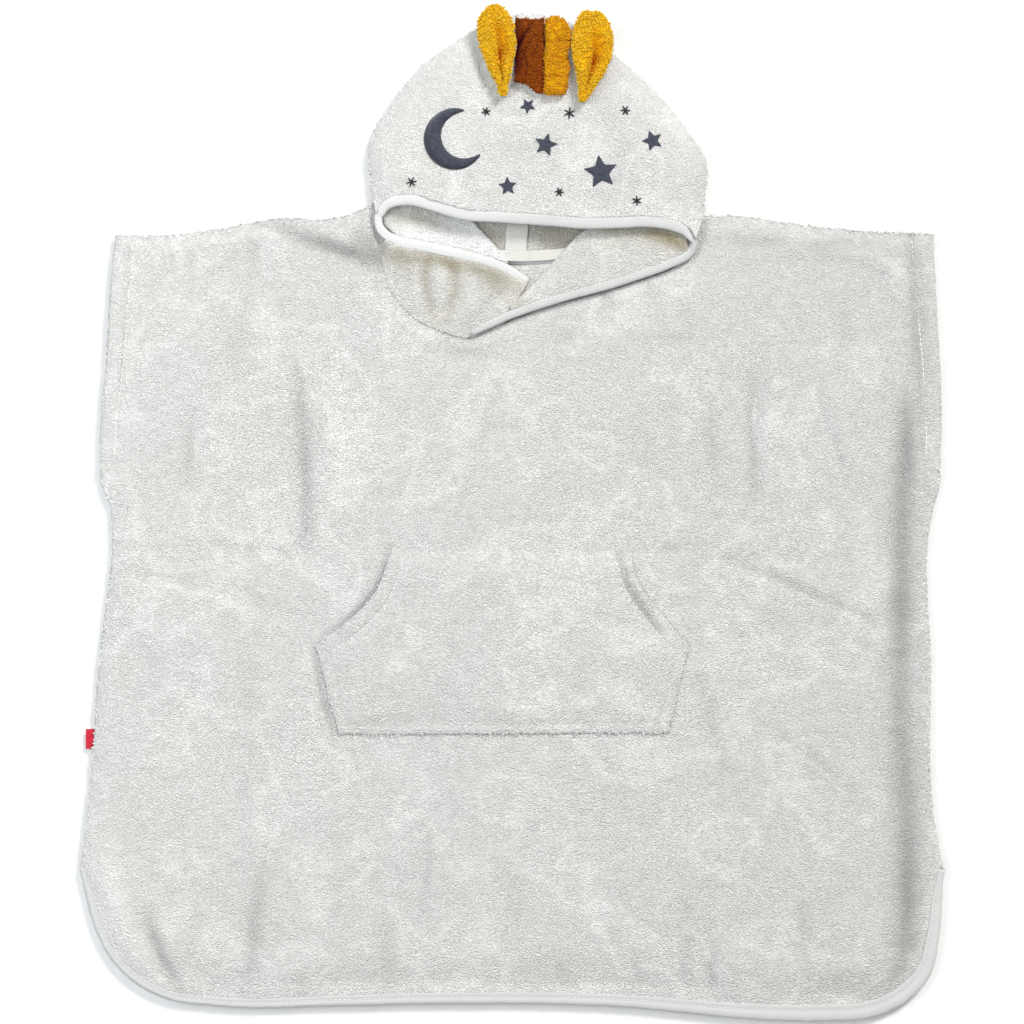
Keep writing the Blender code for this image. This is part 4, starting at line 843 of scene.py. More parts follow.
class Wiring:
    """Adds nodes to a tree: an input is given by its name or number, and is a value or another's socket."""

    def __init__(self, tree):
        self.tree = tree

    def add(self, kind, inputs=None, **settings):
        node = self.tree.nodes.new(kind)
        for name, value in settings.items():
            setattr(node, name, value)
        for key, value in (inputs or {}).items():
            if isinstance(value, bpy.types.NodeSocket):
                self.tree.links.new(value, node.inputs[key])
            else:
                node.inputs[key].default_value = value
        return node

    def math(self, operation, *values):
        return self.add("ShaderNodeMath", dict(enumerate(values)), operation=operation).outputs[0]

    def vector(self, operation, first, second):
        """Two vectors, or a vector and a number, made into one."""
        key = "Scale" if operation == "SCALE" else 1
        return self.add("ShaderNodeVectorMath", {0: first, key: second}, operation=operation).outputs[0]

    def mixed(self, share, dark, light, **settings):
        """A colour between two."""
        inputs = {0: share, 6: (*dark, 1), 7: (*light, 1)}
        return self.add("ShaderNodeMix", inputs, data_type="RGBA", **settings).outputs[2]

    def painted_shade_and_tone(self):
        """How much darker each point of the piece is painted: painted shade, and on a few pieces some tone of
        their own.
        """
        return self.add("ShaderNodeAttribute", attribute_name="painted_shade_and_tone").outputs["Fac"]

    def turned(self, vector, turn, size, shift=(0, 0, 0)):
        """Coordinates along turned axes, in cells of a size."""
        inputs = {"Vector": vector, "Location": shift, "Rotation": (0, 0, turn), "Scale": size}
        return self.add("ShaderNodeMapping", inputs, vector_type="TEXTURE").outputs[0]

    def span(self, value, low, high, smooth_step=True):
        """0 at the low value, 1 at the high one."""
        inputs = {"Value": value, "From Min": low, "From Max": high}
        kind = "SMOOTHSTEP" if smooth_step else "LINEAR"
        return self.add("ShaderNodeMapRange", inputs, interpolation_type=kind).outputs[0]

    def noise(self, vector, scale, detail=1.0):
        inputs = {"Vector": vector, "Scale": scale, "Detail": detail, "Roughness": 0.55}
        return self.add("ShaderNodeTexNoise", inputs)

    def surface(self, shader, colour, height, distance, strength=1.0):
        """Gives a shader its colour and its relief."""
        self.tree.links.new(colour, shader.inputs["Base Color"])
        bump = self.add("ShaderNodeBump", {"Height": height, "Distance": distance, "Strength": strength})
        self.tree.links.new(bump.outputs[0], shader.inputs["Normal"])


def new_group(name, inputs, outputs):
    """A shader node group with its named sockets, and its input and output nodes."""
    tree = bpy.data.node_groups.new(name, "ShaderNodeTree")
    for title, kind, value in inputs:
        socket = tree.interface.new_socket(name=title, in_out="INPUT", socket_type=kind)
        if value is not None:
            socket.default_value = value
    for title in outputs:
        tree.interface.new_socket(name=title, in_out="OUTPUT", socket_type="NodeSocketFloat")
    wiring = Wiring(tree)
    return wiring, wiring.add("NodeGroupInput").outputs, wiring.add("NodeGroupOutput").inputs


STROKES = (  # turn in degrees, length and width factors, shift: three slanted ones, and one along the rows
    (-52, 1.0, 1.0, (0.0, 0.0, 0.0)),
    (-24, 0.85, 0.9, (0.37, 0.11, 0.53)),
    (-82, 0.8, 0.95, (0.71, 0.43, 0.19)),
    (8, 0.85, 0.95, (0.21, 0.67, 0.35)),
)


def terry_group():
    """Curled pile of terry: short strokes that lie mostly one way, gaps between them and wider clumps."""
    wire, given, made = new_group(
        "terry_pile",
        (
            ("Vector", "NodeSocketVector", None),
            ("Loop Length", "NodeSocketFloat", 0.0026),
            ("Loop Width", "NodeSocketFloat", 0.0012),
            ("Curl", "NodeSocketFloat", 0.0011),
        ),
        ("Height", "Tint", "Clump"),
    )
    wobble = wire.noise(given["Vector"], 330.0, 1.0).outputs["Color"]
    bent = wire.vector("SCALE", wire.vector("SUBTRACT", wobble, (0.5, 0.5, 0.5)), given["Curl"])
    vector = wire.vector("ADD", given["Vector"], bent)
    layers = []
    for turn, long, wide, shift in STROKES:
        length = wire.math("MULTIPLY", given["Loop Length"], long)
        width = wire.math("MULTIPLY", given["Loop Width"], wide)
        size = wire.add("ShaderNodeCombineXYZ", {0: length, 1: width, 2: width}).outputs[0]
        spot = wire.turned(vector, math.radians(turn), size, shift)
        spread = wire.add("ShaderNodeTexVoronoi", {"Vector": spot, "Scale": 1.0, "Randomness": 0.95})
        layers.append(wire.span(spread.outputs["Distance"], 0.72, 0.0))
    slanted = wire.math("MAXIMUM", wire.math("MAXIMUM", layers[0], layers[1]), layers[2])
    rows = wire.math("MAXIMUM", layers[3], wire.math("MULTIPLY", layers[1], 0.75))
    patch = wire.span(wire.noise(given["Vector"], 17.0, 2.0).outputs[0], 0.50, 0.60)
    strokes = wire.add("ShaderNodeMix", {0: patch, 2: slanted, 3: rows}).outputs[0]
    fine = wire.noise(vector, 1300.0, 1.0).outputs[0]
    middling = wire.noise(vector, 560.0, 1.0).outputs[0]
    clump = wire.noise(given["Vector"], 120.0, 3.0).outputs[0]
    grain = wire.math("MULTIPLY_ADD", fine, 0.36, wire.math("MULTIPLY", middling, 0.62))
    body = wire.math("MULTIPLY_ADD", strokes, 0.75, grain)
    wire.tree.links.new(wire.math("MULTIPLY_ADD", clump, 0.45, body), made["Height"])
    # Tint is high on the curls and low in their gaps, where the material paints shade
    tint = wire.math("MULTIPLY_ADD", strokes, 0.62, wire.math("SUBTRACT", grain, 0.12))
    wire.tree.links.new(tint, made["Tint"])
    wire.tree.links.new(clump, made["Clump"])
    return wire.tree


def new_material(name, roughness, sheen=0.0):
    """A material with its wiring and its shader, whose plain values are set."""
    made = bpy.data.materials.new(name)
    made.use_nodes = True
    wire = Wiring(made.node_tree)
    shader = made.node_tree.nodes["Principled BSDF"]
    shader.inputs["Roughness"].default_value = roughness
    shader.inputs["Specular IOR Level"].default_value = 0.08
    shader.inputs["Sheen Weight"].default_value = sheen
    shader.inputs["Sheen Roughness"].default_value = 0.55
    return made, wire, shader


def made_once(make):
    """Makes a material only the first time its name is asked for."""

    def found_or_made(name, *values, **settings):
        return bpy.data.materials.get(name) or make(name, *values, **settings)

    return found_or_made


WHITE = (1.0, 1.0, 1.0)
BLACK = (0.0, 0.0, 0.0)
CREAM = (1.0, 0.985, 0.95)


@made_once
def terry(name, gap_shade, tip, length, width, relief, clump_dark=0.07, sheen=0.20, shadow=BLACK):
    """Terry whose gaps between paler curls are painted darker, for the shade that falls in them, with random
    clumps and tone; where a point's painted shade says so, it is painted towards a shadow colour.
    """
    made, wire, shader = new_material(name, 0.95, sheen)
    place = wire.add("ShaderNodeTexCoord").outputs["Object"]
    group = bpy.data.node_groups.get("terry_pile") or terry_group()
    inputs = {"Vector": place, "Loop Length": length, "Loop Width": width}
    pile = wire.add("ShaderNodeGroup", inputs, node_tree=group)
    colour = wire.mixed(pile.outputs["Tint"], gap_shade, tip)
    shade = wire.span(pile.outputs["Clump"], 0.25, 0.7)
    level = wire.math("MULTIPLY_ADD", shade, clump_dark, 1 - clump_dark)
    wash = wire.span(wire.noise(place, 38.0, 3.0).outputs[0], 0.3, 0.7)
    level = wire.math("MULTIPLY", level, wire.math("MULTIPLY_ADD", wash, 0.03, 0.985))
    # painted shade: towards the shadow colour as much as the piece's attribute says; below nought a painted
    # highlight
    shade = wire.mixed(wire.painted_shade_and_tone(), WHITE, shadow, clamp_factor=False)
    tinge = wire.mixed(wire.noise(place, 11.0, 2.0).outputs[0], WHITE, CREAM)
    colour = wire.vector("MULTIPLY", wire.vector("MULTIPLY", colour, tinge), shade)
    wire.surface(shader, wire.vector("SCALE", colour, level), pile.outputs["Height"], relief)
    return made


JERSEY_GAUGE = 0.0009
JERSEY_RELIEF = 0.00012


def knit_group():
    """Fine rows of slanted stitches, as on jersey tape, in the piece's own map."""
    wire, given, made = new_group(
        "jersey_rows",
        (("Vector", "NodeSocketVector", None), ("Gauge", "NodeSocketFloat", JERSEY_GAUGE)),
        ("Height", "Tint"),
    )
    size = wire.add("ShaderNodeCombineXYZ", {0: given["Gauge"], 1: given["Gauge"], 2: 1.0}).outputs[0]
    spot = wire.vector("DIVIDE", given["Vector"], size)
    axes = wire.add("ShaderNodeSeparateXYZ", {0: spot}).outputs
    lean = wire.math("PINGPONG", axes[1], 0.5)
    rows = wire.math("SINE", wire.math("MULTIPLY", wire.math("MULTIPLY_ADD", lean, 0.8, axes[0]), 6.283))
    columns = wire.math("SINE", wire.math("MULTIPLY", axes[1], 6.283))
    yarn = wire.noise(spot, 0.7, 2.0).outputs[0]
    height = wire.math("MULTIPLY_ADD", wire.math("MULTIPLY", rows, columns), 0.25, yarn)
    wire.tree.links.new(height, made["Height"])
    wire.tree.links.new(wire.noise(spot, 0.08, 2.0).outputs[0], made["Tint"])
    return wire.tree


@made_once
def jersey(name, dark, light):
    """Smooth knitted tape, with painted shade along it where a piece gives one."""
    made, wire, shader = new_material(name, 0.75, 0.12)
    place = wire.add("ShaderNodeUVMap", uv_map="cloth").outputs[0]
    group = bpy.data.node_groups.get("jersey_rows") or knit_group()
    rows = wire.add("ShaderNodeGroup", {"Vector": place, "Gauge": JERSEY_GAUGE}, node_tree=group)
    colour = wire.mixed(rows.outputs["Tint"], dark, light)
    colour = wire.vector("SCALE", colour, wire.math("SUBTRACT", 1.0, wire.painted_shade_and_tone()))
    wire.surface(shader, colour, rows.outputs["Height"], JERSEY_RELIEF, 0.8)
    return made


@made_once
def thread(name, dark, light, size, relief, roughness):
    """Close-laid thread or short pile: fine streaks across the piece."""
    made, wire, shader = new_material(name, roughness, 0.25)
    place = wire.add("ShaderNodeTexCoord").outputs["Object"]
    spot = wire.turned(place, math.radians(72), (size, size * 4, size * 4))
    streak = wire.noise(spot, 0.8, 2.0).outputs[0]
    grain = wire.noise(place, 900.0, 2.0).outputs[0]
    height = wire.math("MULTIPLY_ADD", streak, 0.6, wire.math("MULTIPLY", grain, 0.4))
    wire.surface(shader, wire.mixed(wire.span(height, 0.3, 0.7), dark, light), height, relief)
    return made


@made_once
def curls(name, tone, dark, sheen):
    """Single strands of yarn that catch the light, with painted shade at their roots and wherever a piece's
    painted shade says.
    """
    made, wire, shader = new_material(name, 0.9, sheen)
    place = wire.add("ShaderNodeTexCoord").outputs["Object"]
    twist = wire.noise(place, 1400.0, 1.0).outputs[0]
    share = wire.math("MULTIPLY_ADD", wire.math("SUBTRACT", twist, 0.5), 0.6, wire.painted_shade_and_tone())
    wire.surface(shader, wire.mixed(share, tone, dark), twist, 0.0002, 0.6)
    return made


# colours of painted shade: a warmer tinge for the hood's inside, which lies in shade, and the colours that
# painted shade goes towards
INNER_SHADE_TINGE = (1.0, 0.992, 0.965)
INNER_SHADOW = (0.25, 0.18, 0.0)
INNER_DEPTH = 1.33  # makes up for the light that a warm shadow keeps
MUSTARD_SHADOW = (0.60, 0.28, 0.0)
BROWN_SHADOW = (0.25, 0.0, 0.9)
MUSTARD_PILE = (0.0034, 0.0016, 0.0014, 0.25, 0.03)  # length, width, relief, share of clumps and sheen
BROWN_PILE = (0.0028, 0.0014, 0.0012, 0.25, 0.03)
SLATE_THREAD = (0.0007, 0.0004, 0.9)  # size, relief and roughness
TAPE_THREAD = (0.0009, 0.00018, 0.85)
TAB_THREAD = (0.0005, 0.0002, 0.55)


def palette():
    return bpy.context.scene.poncho_colours


def white_terry(name="white_terry_pile", tinge=WHITE, shadow=BLACK):
    """The white terry, or one with a tinge and a painted shadow colour of its own."""
    sizes = bpy.context.scene.poncho_sizes
    tones = palette().white_gap_shade, palette().white_tip
    gap_shade, tip = ([part * share for part, share in zip(tone, tinge)] for tone in tones)
    return terry(name, gap_shade, tip, sizes.loop_length, sizes.loop_width, sizes.pile_relief, shadow=shadow)


def shaded_inner_terry():
    """The same terry inside the hood, painted with a warmer tinge and a warm painted shadow for the shade it
    lies in.
    """
    return white_terry("inner_terry_pile", INNER_SHADE_TINGE, INNER_SHADOW)


def mustard_terry():
    tones = palette().mustard_gap_shade, palette().mustard_tip
    return terry("mustard_terry_pile", *tones, *MUSTARD_PILE, MUSTARD_SHADOW)


def brown_terry():
    tones = palette().brown_gap_shade, palette().brown_tip
    return terry("brown_terry_pile", *tones, *BROWN_PILE, BROWN_SHADOW)


def slate_pile():
    return thread("slate_felt", palette().slate_dark, palette().slate_light, *SLATE_THREAD)


def white_tape(name="white_jersey_tape", share=1.0):
    """The white tape, or one as dark as a share of it."""
    tones = palette().binding_dark, palette().binding_light
    return jersey(name, *([part * share for part in tone] for tone in tones))


# ---------------------------------------------------------------- outlines of the body

HEM_LINE = smooth(HEM, even(HEM_STEPS))


def hem_width():
    """Width of the hem tape at each step, which is narrow at its turned ends."""
    step = np.arange(HEM_STEPS + 1)
    share = np.minimum(np.minimum(step, HEM_STEPS - step) / HEM_END_STEPS, 1.0)
    return HEM_BINDING_END + (HEM_LINE[:, HEM_TAPE] - HEM_BINDING_END) * share


def side(table, edge):
    """The left or the right line of a table of levels."""
    return smooth([(getattr(level, edge), level.y) for level in table], even(DENSE))


BODY_ROWS = (34, 116, 16, 76)  # cells along the hem, side seam, underarm and cuff
BODY_COLUMNS = (74, 134, 64)  # cells along the left shoulder, neck and right shoulder


def body_edges(neck, coarse=1):
    """Bottom, top, left and right edges of a body panel, without its hem tape."""
    hem = moved_left(HEM_LINE, hem_width() + SEAM)
    rows, columns = ([count // coarse for count in counts] for counts in (BODY_ROWS, BODY_COLUMNS))
    sides = []
    for corner, edge in ((hem[: HEM_CORNER + 1][::-1], "left"), (hem[HEM_STEPS - HEM_CORNER :], "right")):
        seam = side(SIDE_SEAM, edge)
        seam = np.vstack((corner[-1:], seam[seam[:, 1] > max(VENT_Y + SEAM, corner[-1, 1]) + VENT_SLANT]))
        paths = (corner, seam, side(UNDERARM, edge), side(CUFF, edge))
        sides.append(run(paths, rows))
    shoulders = smooth(SHOULDER_LEFT, even(DENSE)), smooth(SHOULDER_RIGHT, even(DENSE))
    top = run((shoulders[0], neck, shoulders[1]), columns)
    bottom = hem[HEM_CORNER : HEM_STEPS - HEM_CORNER + 1]
    bottom = along(bottom, cells(reach_of(bottom)[-1], sum(columns)))
    return bottom, top, sides[0], sides[1]


FRONT_NECK_LINE = smooth(FRONT_NECK, even(DENSE))
FRONT_GRID = filled(*body_edges(FRONT_NECK_LINE))
FRONT_LOOP = rim_of(FRONT_GRID)[::4]
CUFF_LINES = {edge: side(CUFF, edge) for edge in ("left", "right")}
SEAM_LINES = {edge: side(SIDE_SEAM, edge) for edge in ("left", "right")}


def cuff_band(where, edge):
    """Width of a sleeve's turned hem from its lower to its upper end."""
    if edge == "left":
        return 0.0105 + 0.003 * eased(where * 1.5)
    return 0.0100 + 0.0055 * where


def cuff_relief(points):
    """Thicker turned hem along the sleeve edges, with its row of stitches pulled in."""
    total = np.zeros(len(points))
    for edge, line in CUFF_LINES.items():
        away, where = nearest(points, line)
        inside = away - cuff_band(where, edge)
        total += 0.0010 * (1 - eased(inside / 0.0024 + 0.5)) * eased(away / 0.002)
        total -= 0.0011 * bell(inside / 0.0013)
        total += 0.0007 * bell((inside + 0.004) / 0.0025)
        total += 0.0010 * (1 - eased(away / 0.012)) * np.sin(np.pi * where)
    return total


def seam_relief(points):
    """Side seams: the turned-in cloth makes a soft rim beside the edge."""
    total = np.zeros(len(points))
    for line in SEAM_LINES.values():
        away, where = nearest(points, line)
        total += 0.0011 * bell((away - 0.0045) / 0.0035) * eased(where * 8) * eased((1 - where) * 8)
    return total


def neck_relief(points):
    """The neck seam pulls the front in beside it."""
    away = nearest(points, FRONT_NECK_LINE[::6])[0]
    return -0.0006 * bell((away - 0.0035) / 0.002) + 0.0007 * bell((away - 0.0085) / 0.0035)


def front_level(points):
    """Middle of the front's wall."""
    away = nearest(points, FRONT_LOOP)[0]
    beside_neck = nearest(points, FRONT_NECK_LINE[::8])[0]
    ease = SIDE_EASE * (1 + 1.4 * eased((-0.262 - points[:, 1]) / 0.040))
    loft = FRONT_LOFT * eased(away / ease) * (0.35 + 0.65 * eased(beside_neck / NECK_EASE))
    loft += 0.0007 * uneven(points, 0.060, 3) * eased(away / NECK_EASE)
    depth = bpy.context.scene.poncho_sizes.fold_depth
    soft = depth * (folds(points, FRONT_FOLDS) + 0.0003 * uneven(points, 0.026, 4))
    soft += 0.00025 * uneven(points, 0.013, 6)
    soft = (soft + seam_relief(points) + neck_relief(points)) * eased(away / 0.009)
    lift = np.maximum(loft + soft + cuff_relief(points), -0.0002)
    return FRONT_MIDDLE + lift + VENT_LIFT * eased((VENT_Y + VENT_EASE - points[:, 1]) / VENT_EASE)


def front_top(points, extra=0.0):
    return front_level(points) + WALL / 2 + extra


def drawn_in(plan, share):
    """A grid made smaller about its middle, so that it stays out of sight under what lies on it."""
    middle = (plan.min(axis=(0, 1)) + plan.max(axis=(0, 1))) / 2
    return middle + (plan - middle) * share


def make_back_panel():
    plan = drawn_in(filled(*body_edges(smooth(BACK_NECK, even(DENSE)), 2)), 0.997)
    piece = cloth("back_panel", lifted(plan, WALL / 2), WALL, white_terry(), nap=0.0002, seed=11)
    finished(piece, "terry_white", "back_panel")


def make_front_panel():
    middle = lifted(FRONT_GRID, front_level)
    beside_hem = tight_at(FRONT_GRID, HEM_LINE[::2], near=0.0125)
    radius = np.minimum(tight_at(FRONT_GRID, FRONT_NECK_LINE[::4], tight=0.0004), beside_hem)
    # painted shade along the folds and seams, and painted shade that grows towards the right
    painted_shade_and_tone = 1.3 * over(FRONT_GRID, FRONT_SHADING) + SHADE_RAMP * FRONT_GRID[..., 0]
    piece = cloth("front_panel", middle, WALL, white_terry(), seed=21, step=6, radius=radius, painted_shade_and_tone=painted_shade_and_tone)
    finished(piece, "terry_white", "front_panel")


# ---------------------------------------------------------------- hem tapes

HEM_ENDS_PROUD = (0.0004, 0.0017)  # how far the tapes' turned ends stand out at the left and right vent
HEM_LIP = 0.0011  # how far the tape laps over the cloth
HEM_STITCH = 0.26  # place of its stitches across it


def hem_section(width):
    """Across and up for each point of a tape folded over an edge: round its outside and back inside."""
    half = WALL / 2
    crown = half + 0.00030
    top = [
        (-HEM_LIP, half + 0.00015),
        (-HEM_LIP - 0.0002, half + 0.00035),
        (-HEM_LIP + 0.0004, half + 0.00055),
        (width * HEM_STITCH - 0.0007, crown),
        (width * HEM_STITCH, crown - 0.00035),
        (width * HEM_STITCH + 0.0007, crown),
        (width * 0.60, crown + 0.00010),
        (width * 0.84, crown - 0.00015),
        (width * 0.96, half * 0.62),
        (width, half * 0.12),
    ]
    inner = [(width - 0.0009, half * 0.45), (width * 0.7, half * 0.85), (0.0, half + 0.0001)]
    outside = top + [(across, -up) for across, up in reversed(top)]
    inside = [(across, -up) for across, up in reversed(inner)] + inner
    return outside + inside


def make_hem_tape(name, level, proud, seed):
    outer = HEM_LINE[:, :2]
    widths = hem_width()
    step = np.arange(HEM_STEPS + 1)
    bulge = HEM_ENDS_PROUD[0] * bell(step / 2.5) + HEM_ENDS_PROUD[1] * bell((HEM_STEPS - step) / 2.2)
    left_share = 1 - eased((outer[:, 0] + 0.262) / 0.05)
    inwards = sideways(HEM_LINE)
    inner = outer + inwards * widths[:, None]
    heights = level(inner)
    ripple = 0.00025 * uneven(np.stack((step * 0.0045, step * 0), axis=1), 0.006, seed)
    rings = []
    for i, start in enumerate(inner):
        reach = widths[i] + bulge[i] + proud * left_share[i] + ripple[i]
        level = heights[i] + ripple[i] * 0.4
        rings.append([(*(start - inwards[i] * across), level + up) for across, up in hem_section(reach)])
    piece = tube(name, np.array(rings), white_tape("hem_jersey_tape", 0.90))
    finished(piece, "binding_white", name)
    return piece


def make_hem_tapes():
    back = make_hem_tape("back_hem_binding", flat(0.0022), 0.0011, 31)
    front = make_hem_tape("front_hem_binding", front_level, 0.0, 32)


# ---------------------------------------------------------------- pocket

POCKET_ROWS = (28, 40)  # cells along the sewn side and the opening
POCKET_COLUMNS = 116


def pocket_grid():
    edges = (POCKET_SIDE_LEFT, POCKET_MOUTH_LEFT), (POCKET_SIDE_RIGHT, POCKET_MOUTH_RIGHT)
    left, right = (run((np.array(low), smooth(mouth, even(DENSE))), POCKET_ROWS) for low, mouth in edges)
    shares = cells(0.22, POCKET_COLUMNS)
    bottom, top = (along(np.array((left[end], right[end])), shares) for end in (0, -1))
    return filled(bottom, top, left, right)


POCKET_GRID = pocket_grid()
POCKET_LOOP = rim_of(POCKET_GRID)
POCKET_MOUTHS = [smooth(spots, even(24)) for spots in (POCKET_MOUTH_LEFT, POCKET_MOUTH_RIGHT)]
POCKET_SIDES = [np.array(ends) for ends in (POCKET_SIDE_LEFT, POCKET_SIDE_RIGHT)]
POCKET_SIDES.append(np.array((POCKET_SIDE_LEFT[0], POCKET_SIDE_RIGHT[0])))
POCKET_WALL = 0.0015
POCKET_HEM = 0.0062  # distance of its stitches from its sewn edges
MOUTH_HEM = 0.0108  # the same at its openings
POCKET_LOOPS_TOP = -0.0285  # above it the pocket has no loose curls
POCKET_SINK = 0.0017  # how far its top edge goes down into the pile


def pocket_base(points):
    """Underside of the pocket: down on the front at its sewn edges, with rims, rows of stitches and loft."""
    away = nearest(points, POCKET_LOOP[::3])[0]
    level = front_top(points) + (POCKET_GAP + POCKET_LOFT) * eased(away / POCKET_EASE)
    sunk = eased((points[:, 1] + 0.0375) / 0.011)
    level -= POCKET_SINK * sunk
    beside = np.min([nearest(points, edge)[0] for edge in POCKET_SIDES], axis=0)
    level += 0.0006 * bell((beside - 0.0034) / 0.0022) * eased(beside / 0.002)
    level -= 0.0009 * bell((beside - POCKET_HEM) / 0.0014) * eased((away + 0.001 - beside) / 0.001 + 1)
    for mouth in POCKET_MOUTHS:
        beside, where = nearest(points, mouth)
        arch = np.sin(np.pi * where)
        level += 0.0014 * bell((beside - 0.003) / 0.0055) * arch
        level -= 0.0011 * bell((beside - MOUTH_HEM) / 0.0018) * arch**0.5
    return level + 0.0005 * uneven(points, 0.024, 8) * eased(away / 0.01)


def make_pocket():
    base = lifted(POCKET_GRID, pocket_base)
    # painted shade beside the pocket's openings
    painted_shade_and_tone = over(POCKET_GRID, POCKET_SHADING)
    radius = np.minimum(*(tight_at(POCKET_GRID, mouth, 0.0030, 0.0009, 0.003) for mouth in POCKET_MOUTHS))
    piece = laid_cloth("pocket", base, POCKET_WALL, white_terry(), 41, radius, painted_shade_and_tone)
    finished(piece, "terry_white", "pocket")


# ---------------------------------------------------------------- hood: back, tapes and folded layers

HOOD_LEFT_LINE = smooth(HOOD_LEFT, even(DENSE))
HOOD_RIGHT_LINE = smooth(HOOD_RIGHT, even(DENSE))
HOOD_TOP_LINE = smooth(HOOD_TOP, even(DENSE))
HOOD_ARCH = joined(HOOD_LEFT_LINE, HOOD_TOP_LINE, HOOD_RIGHT_LINE[::-1])
DEEP_MIDDLE = np.array((0.0060, 0.2000))
HOOD_BACK_CELLS = 56
CENTRE_BACK = np.array((BACK_NECK[BACK_NECK_MIDDLE], HOOD_TOP[HOOD_TOP_MIDDLE]))


def deep_rise(points):
    """The back of the hood isn't quite flat where it shows in the opening."""
    return 0.0030 * bell(np.linalg.norm(points - DEEP_MIDDLE, axis=1) / 0.024)


def make_hood_backs():
    neck = BACK_NECK[: BACK_NECK_MIDDLE + 1], BACK_NECK[BACK_NECK_MIDDLE:]
    top = HOOD_TOP[: HOOD_TOP_MIDDLE + 1], HOOD_TOP[HOOD_TOP_MIDDLE:]
    shares = cells(0.14, HOOD_BACK_CELLS)
    seam = along(CENTRE_BACK, shares)
    outer_left = smooth((BACK_NECK[0],) + HOOD_LEFT, shares)
    outer_right = smooth((BACK_NECK[-1],) + HOOD_RIGHT[1:], shares)
    halves = (
        ("hood_back_left", outer_left, moved_left(seam, SEAM / 2)),
        ("hood_back_right", moved_left(seam, -SEAM / 2), outer_right),
    )
    for number, (name, left, right) in enumerate(halves):
        low = moved_left(smooth(neck[number], shares), SEAM)
        grid = drawn_in(filled(low, smooth(top[number], shares), left, right), 0.992)
        middle = lifted(grid, lambda points: WALL / 2 + deep_rise(points))
        # painted shade in the deep part of the hood, and a little all over it
        painted_shade_and_tone = INNER_DEPTH * over(grid, DEEP_SHADING) + 0.04
        piece = cloth(name, middle, WALL, shaded_inner_terry(), nap=0.0002, seed=51 + number, painted_shade_and_tone=painted_shade_and_tone)
        finished(piece, "terry_white", name)
    tapes = [make_centre_tape(), make_neck_tape()]


def tape_strip(name, path, width, low, slot, nodes):
    """Woven tape along a path, slightly crowned and wavy, with its level at each point."""
    shares = cells(reach_of(path)[-1], 60)
    line = along(path, shares)
    across = np.linspace(-1, 1, 15)
    edge = sideways(line)
    plan = line[:, None] - edge[:, None] * (across[None, :, None] * width / 2)
    points = plan.reshape(-1, 2)
    level = (low(points) + deep_rise(points)).reshape(plan.shape[:2])
    middle = lifted(plan, level + 0.00012 * uneven(plan, 0.009, 61) + TAPE / 2)
    finish = thread("woven_tape", palette().tape_dark, palette().tape_light, *TAPE_THREAD)
    piece = cloth(name, middle, TAPE, finish, nap=0.0, radius=0.0006, ragged=0.0001)
    return finished(piece, slot, *nodes)


def make_centre_tape():
    path = along(CENTRE_BACK, (0.0, 0.86))
    return tape_strip(
        "hood_seam_tape", path, SEAM_TAPE_WIDTH, flat(FRONT_LOW), "tape", ["hood_seam_tape"]
    )


def make_neck_tape():
    """Tape over the back of the neck seam, across the end of the centre tape."""

    def low(points):
        beside = np.abs(points[:, 0] - BACK_NECK[BACK_NECK_MIDDLE][0])
        over = 1 - eased((beside - SEAM_TAPE_WIDTH / 2) / 0.004)
        return FRONT_LOW + (TAPE + SEAM) * over

    return tape_strip("neck_seam_tape", smooth(NECK_TAPE, even(30)), NECK_TAPE_WIDTH, low, "tape", [])


def folded_slab(name, grid, seed, rise=None, painted_shade_and_tone=None):
    """Layers of cloth folded away inside the hood, as one rounded slab."""
    height = FOLDED_TOP - FRONT_LOW
    middle = lifted(grid, FRONT_LOW + height / 2)
    if rise is not None:
        middle[..., 2] += rise(grid.reshape(-1, 2)).reshape(grid.shape[:2])
    piece = cloth(name, middle, height, shaded_inner_terry(), seed=seed, radius=0.0026, painted_shade_and_tone=painted_shade_and_tone)
    return finished(piece, "terry_white", name)


def towards_lip(points):
    """The left layers rise a little where they hang from the lip."""
    away, where = nearest(points, smooth(INNER_FOLD_LOW, even(20)))
    beside = (1 - eased(away / 0.020)) * (1 - eased((where - 0.55) / 0.45))
    return LIP_RISE * np.maximum(beside, 1 - eased((points[:, 0] + 0.050) / 0.040))


def make_folded_layers():
    shares = cells(0.08, 30)
    edges = (INNER_FOLD_LOW, INNER_FOLD_HIGH, INNER_FOLD_OUTER, INNER_FOLD_LEFT)
    grid = filled(*(smooth(edge, shares) for edge in edges))
    # painted shade under the upper lip, and a painted highlight all over the folded layers
    painted_shade_and_tone = INNER_DEPTH * over(grid, INSIDE_SHADING) - 0.26
    left = folded_slab("hood_pleat_left", grid, 71, towards_lip, painted_shade_and_tone)
    start, stop = PLEAT_RIGHT_ENDS
    neck = FRONT_NECK_LINE
    neck = neck[(neck[:, 0] > start) & (neck[:, 0] < stop) & (neck[:, 1] < PLEAT_RIGHT_TOP)]
    low = along(moved_left(neck, 2 * SEAM), shares)
    fold = smooth(THROAT_FOLD_RIGHT[:-1], even(DENSE))
    high = along(moved_left(fold[fold[:, 0] > start], -PLEAT_RIGHT_INSET), shares)
    right = folded_slab("hood_pleat_right", between(low, high, shares), 72)


# ---------------------------------------------------------------- hood: throat flaps, face and mouth tape

LEFT_NECK = FRONT_NECK_LINE[
    (FRONT_NECK_LINE[:, 0] < FLAP_LEFT_END) & (FRONT_NECK_LINE[:, 1] < FLAP_NECK_TOP)
]
NECK_TUCK = 0.0012  # how far the left flap's edge goes in under the front
HOOD_FOLD_DEPTH = 1.6
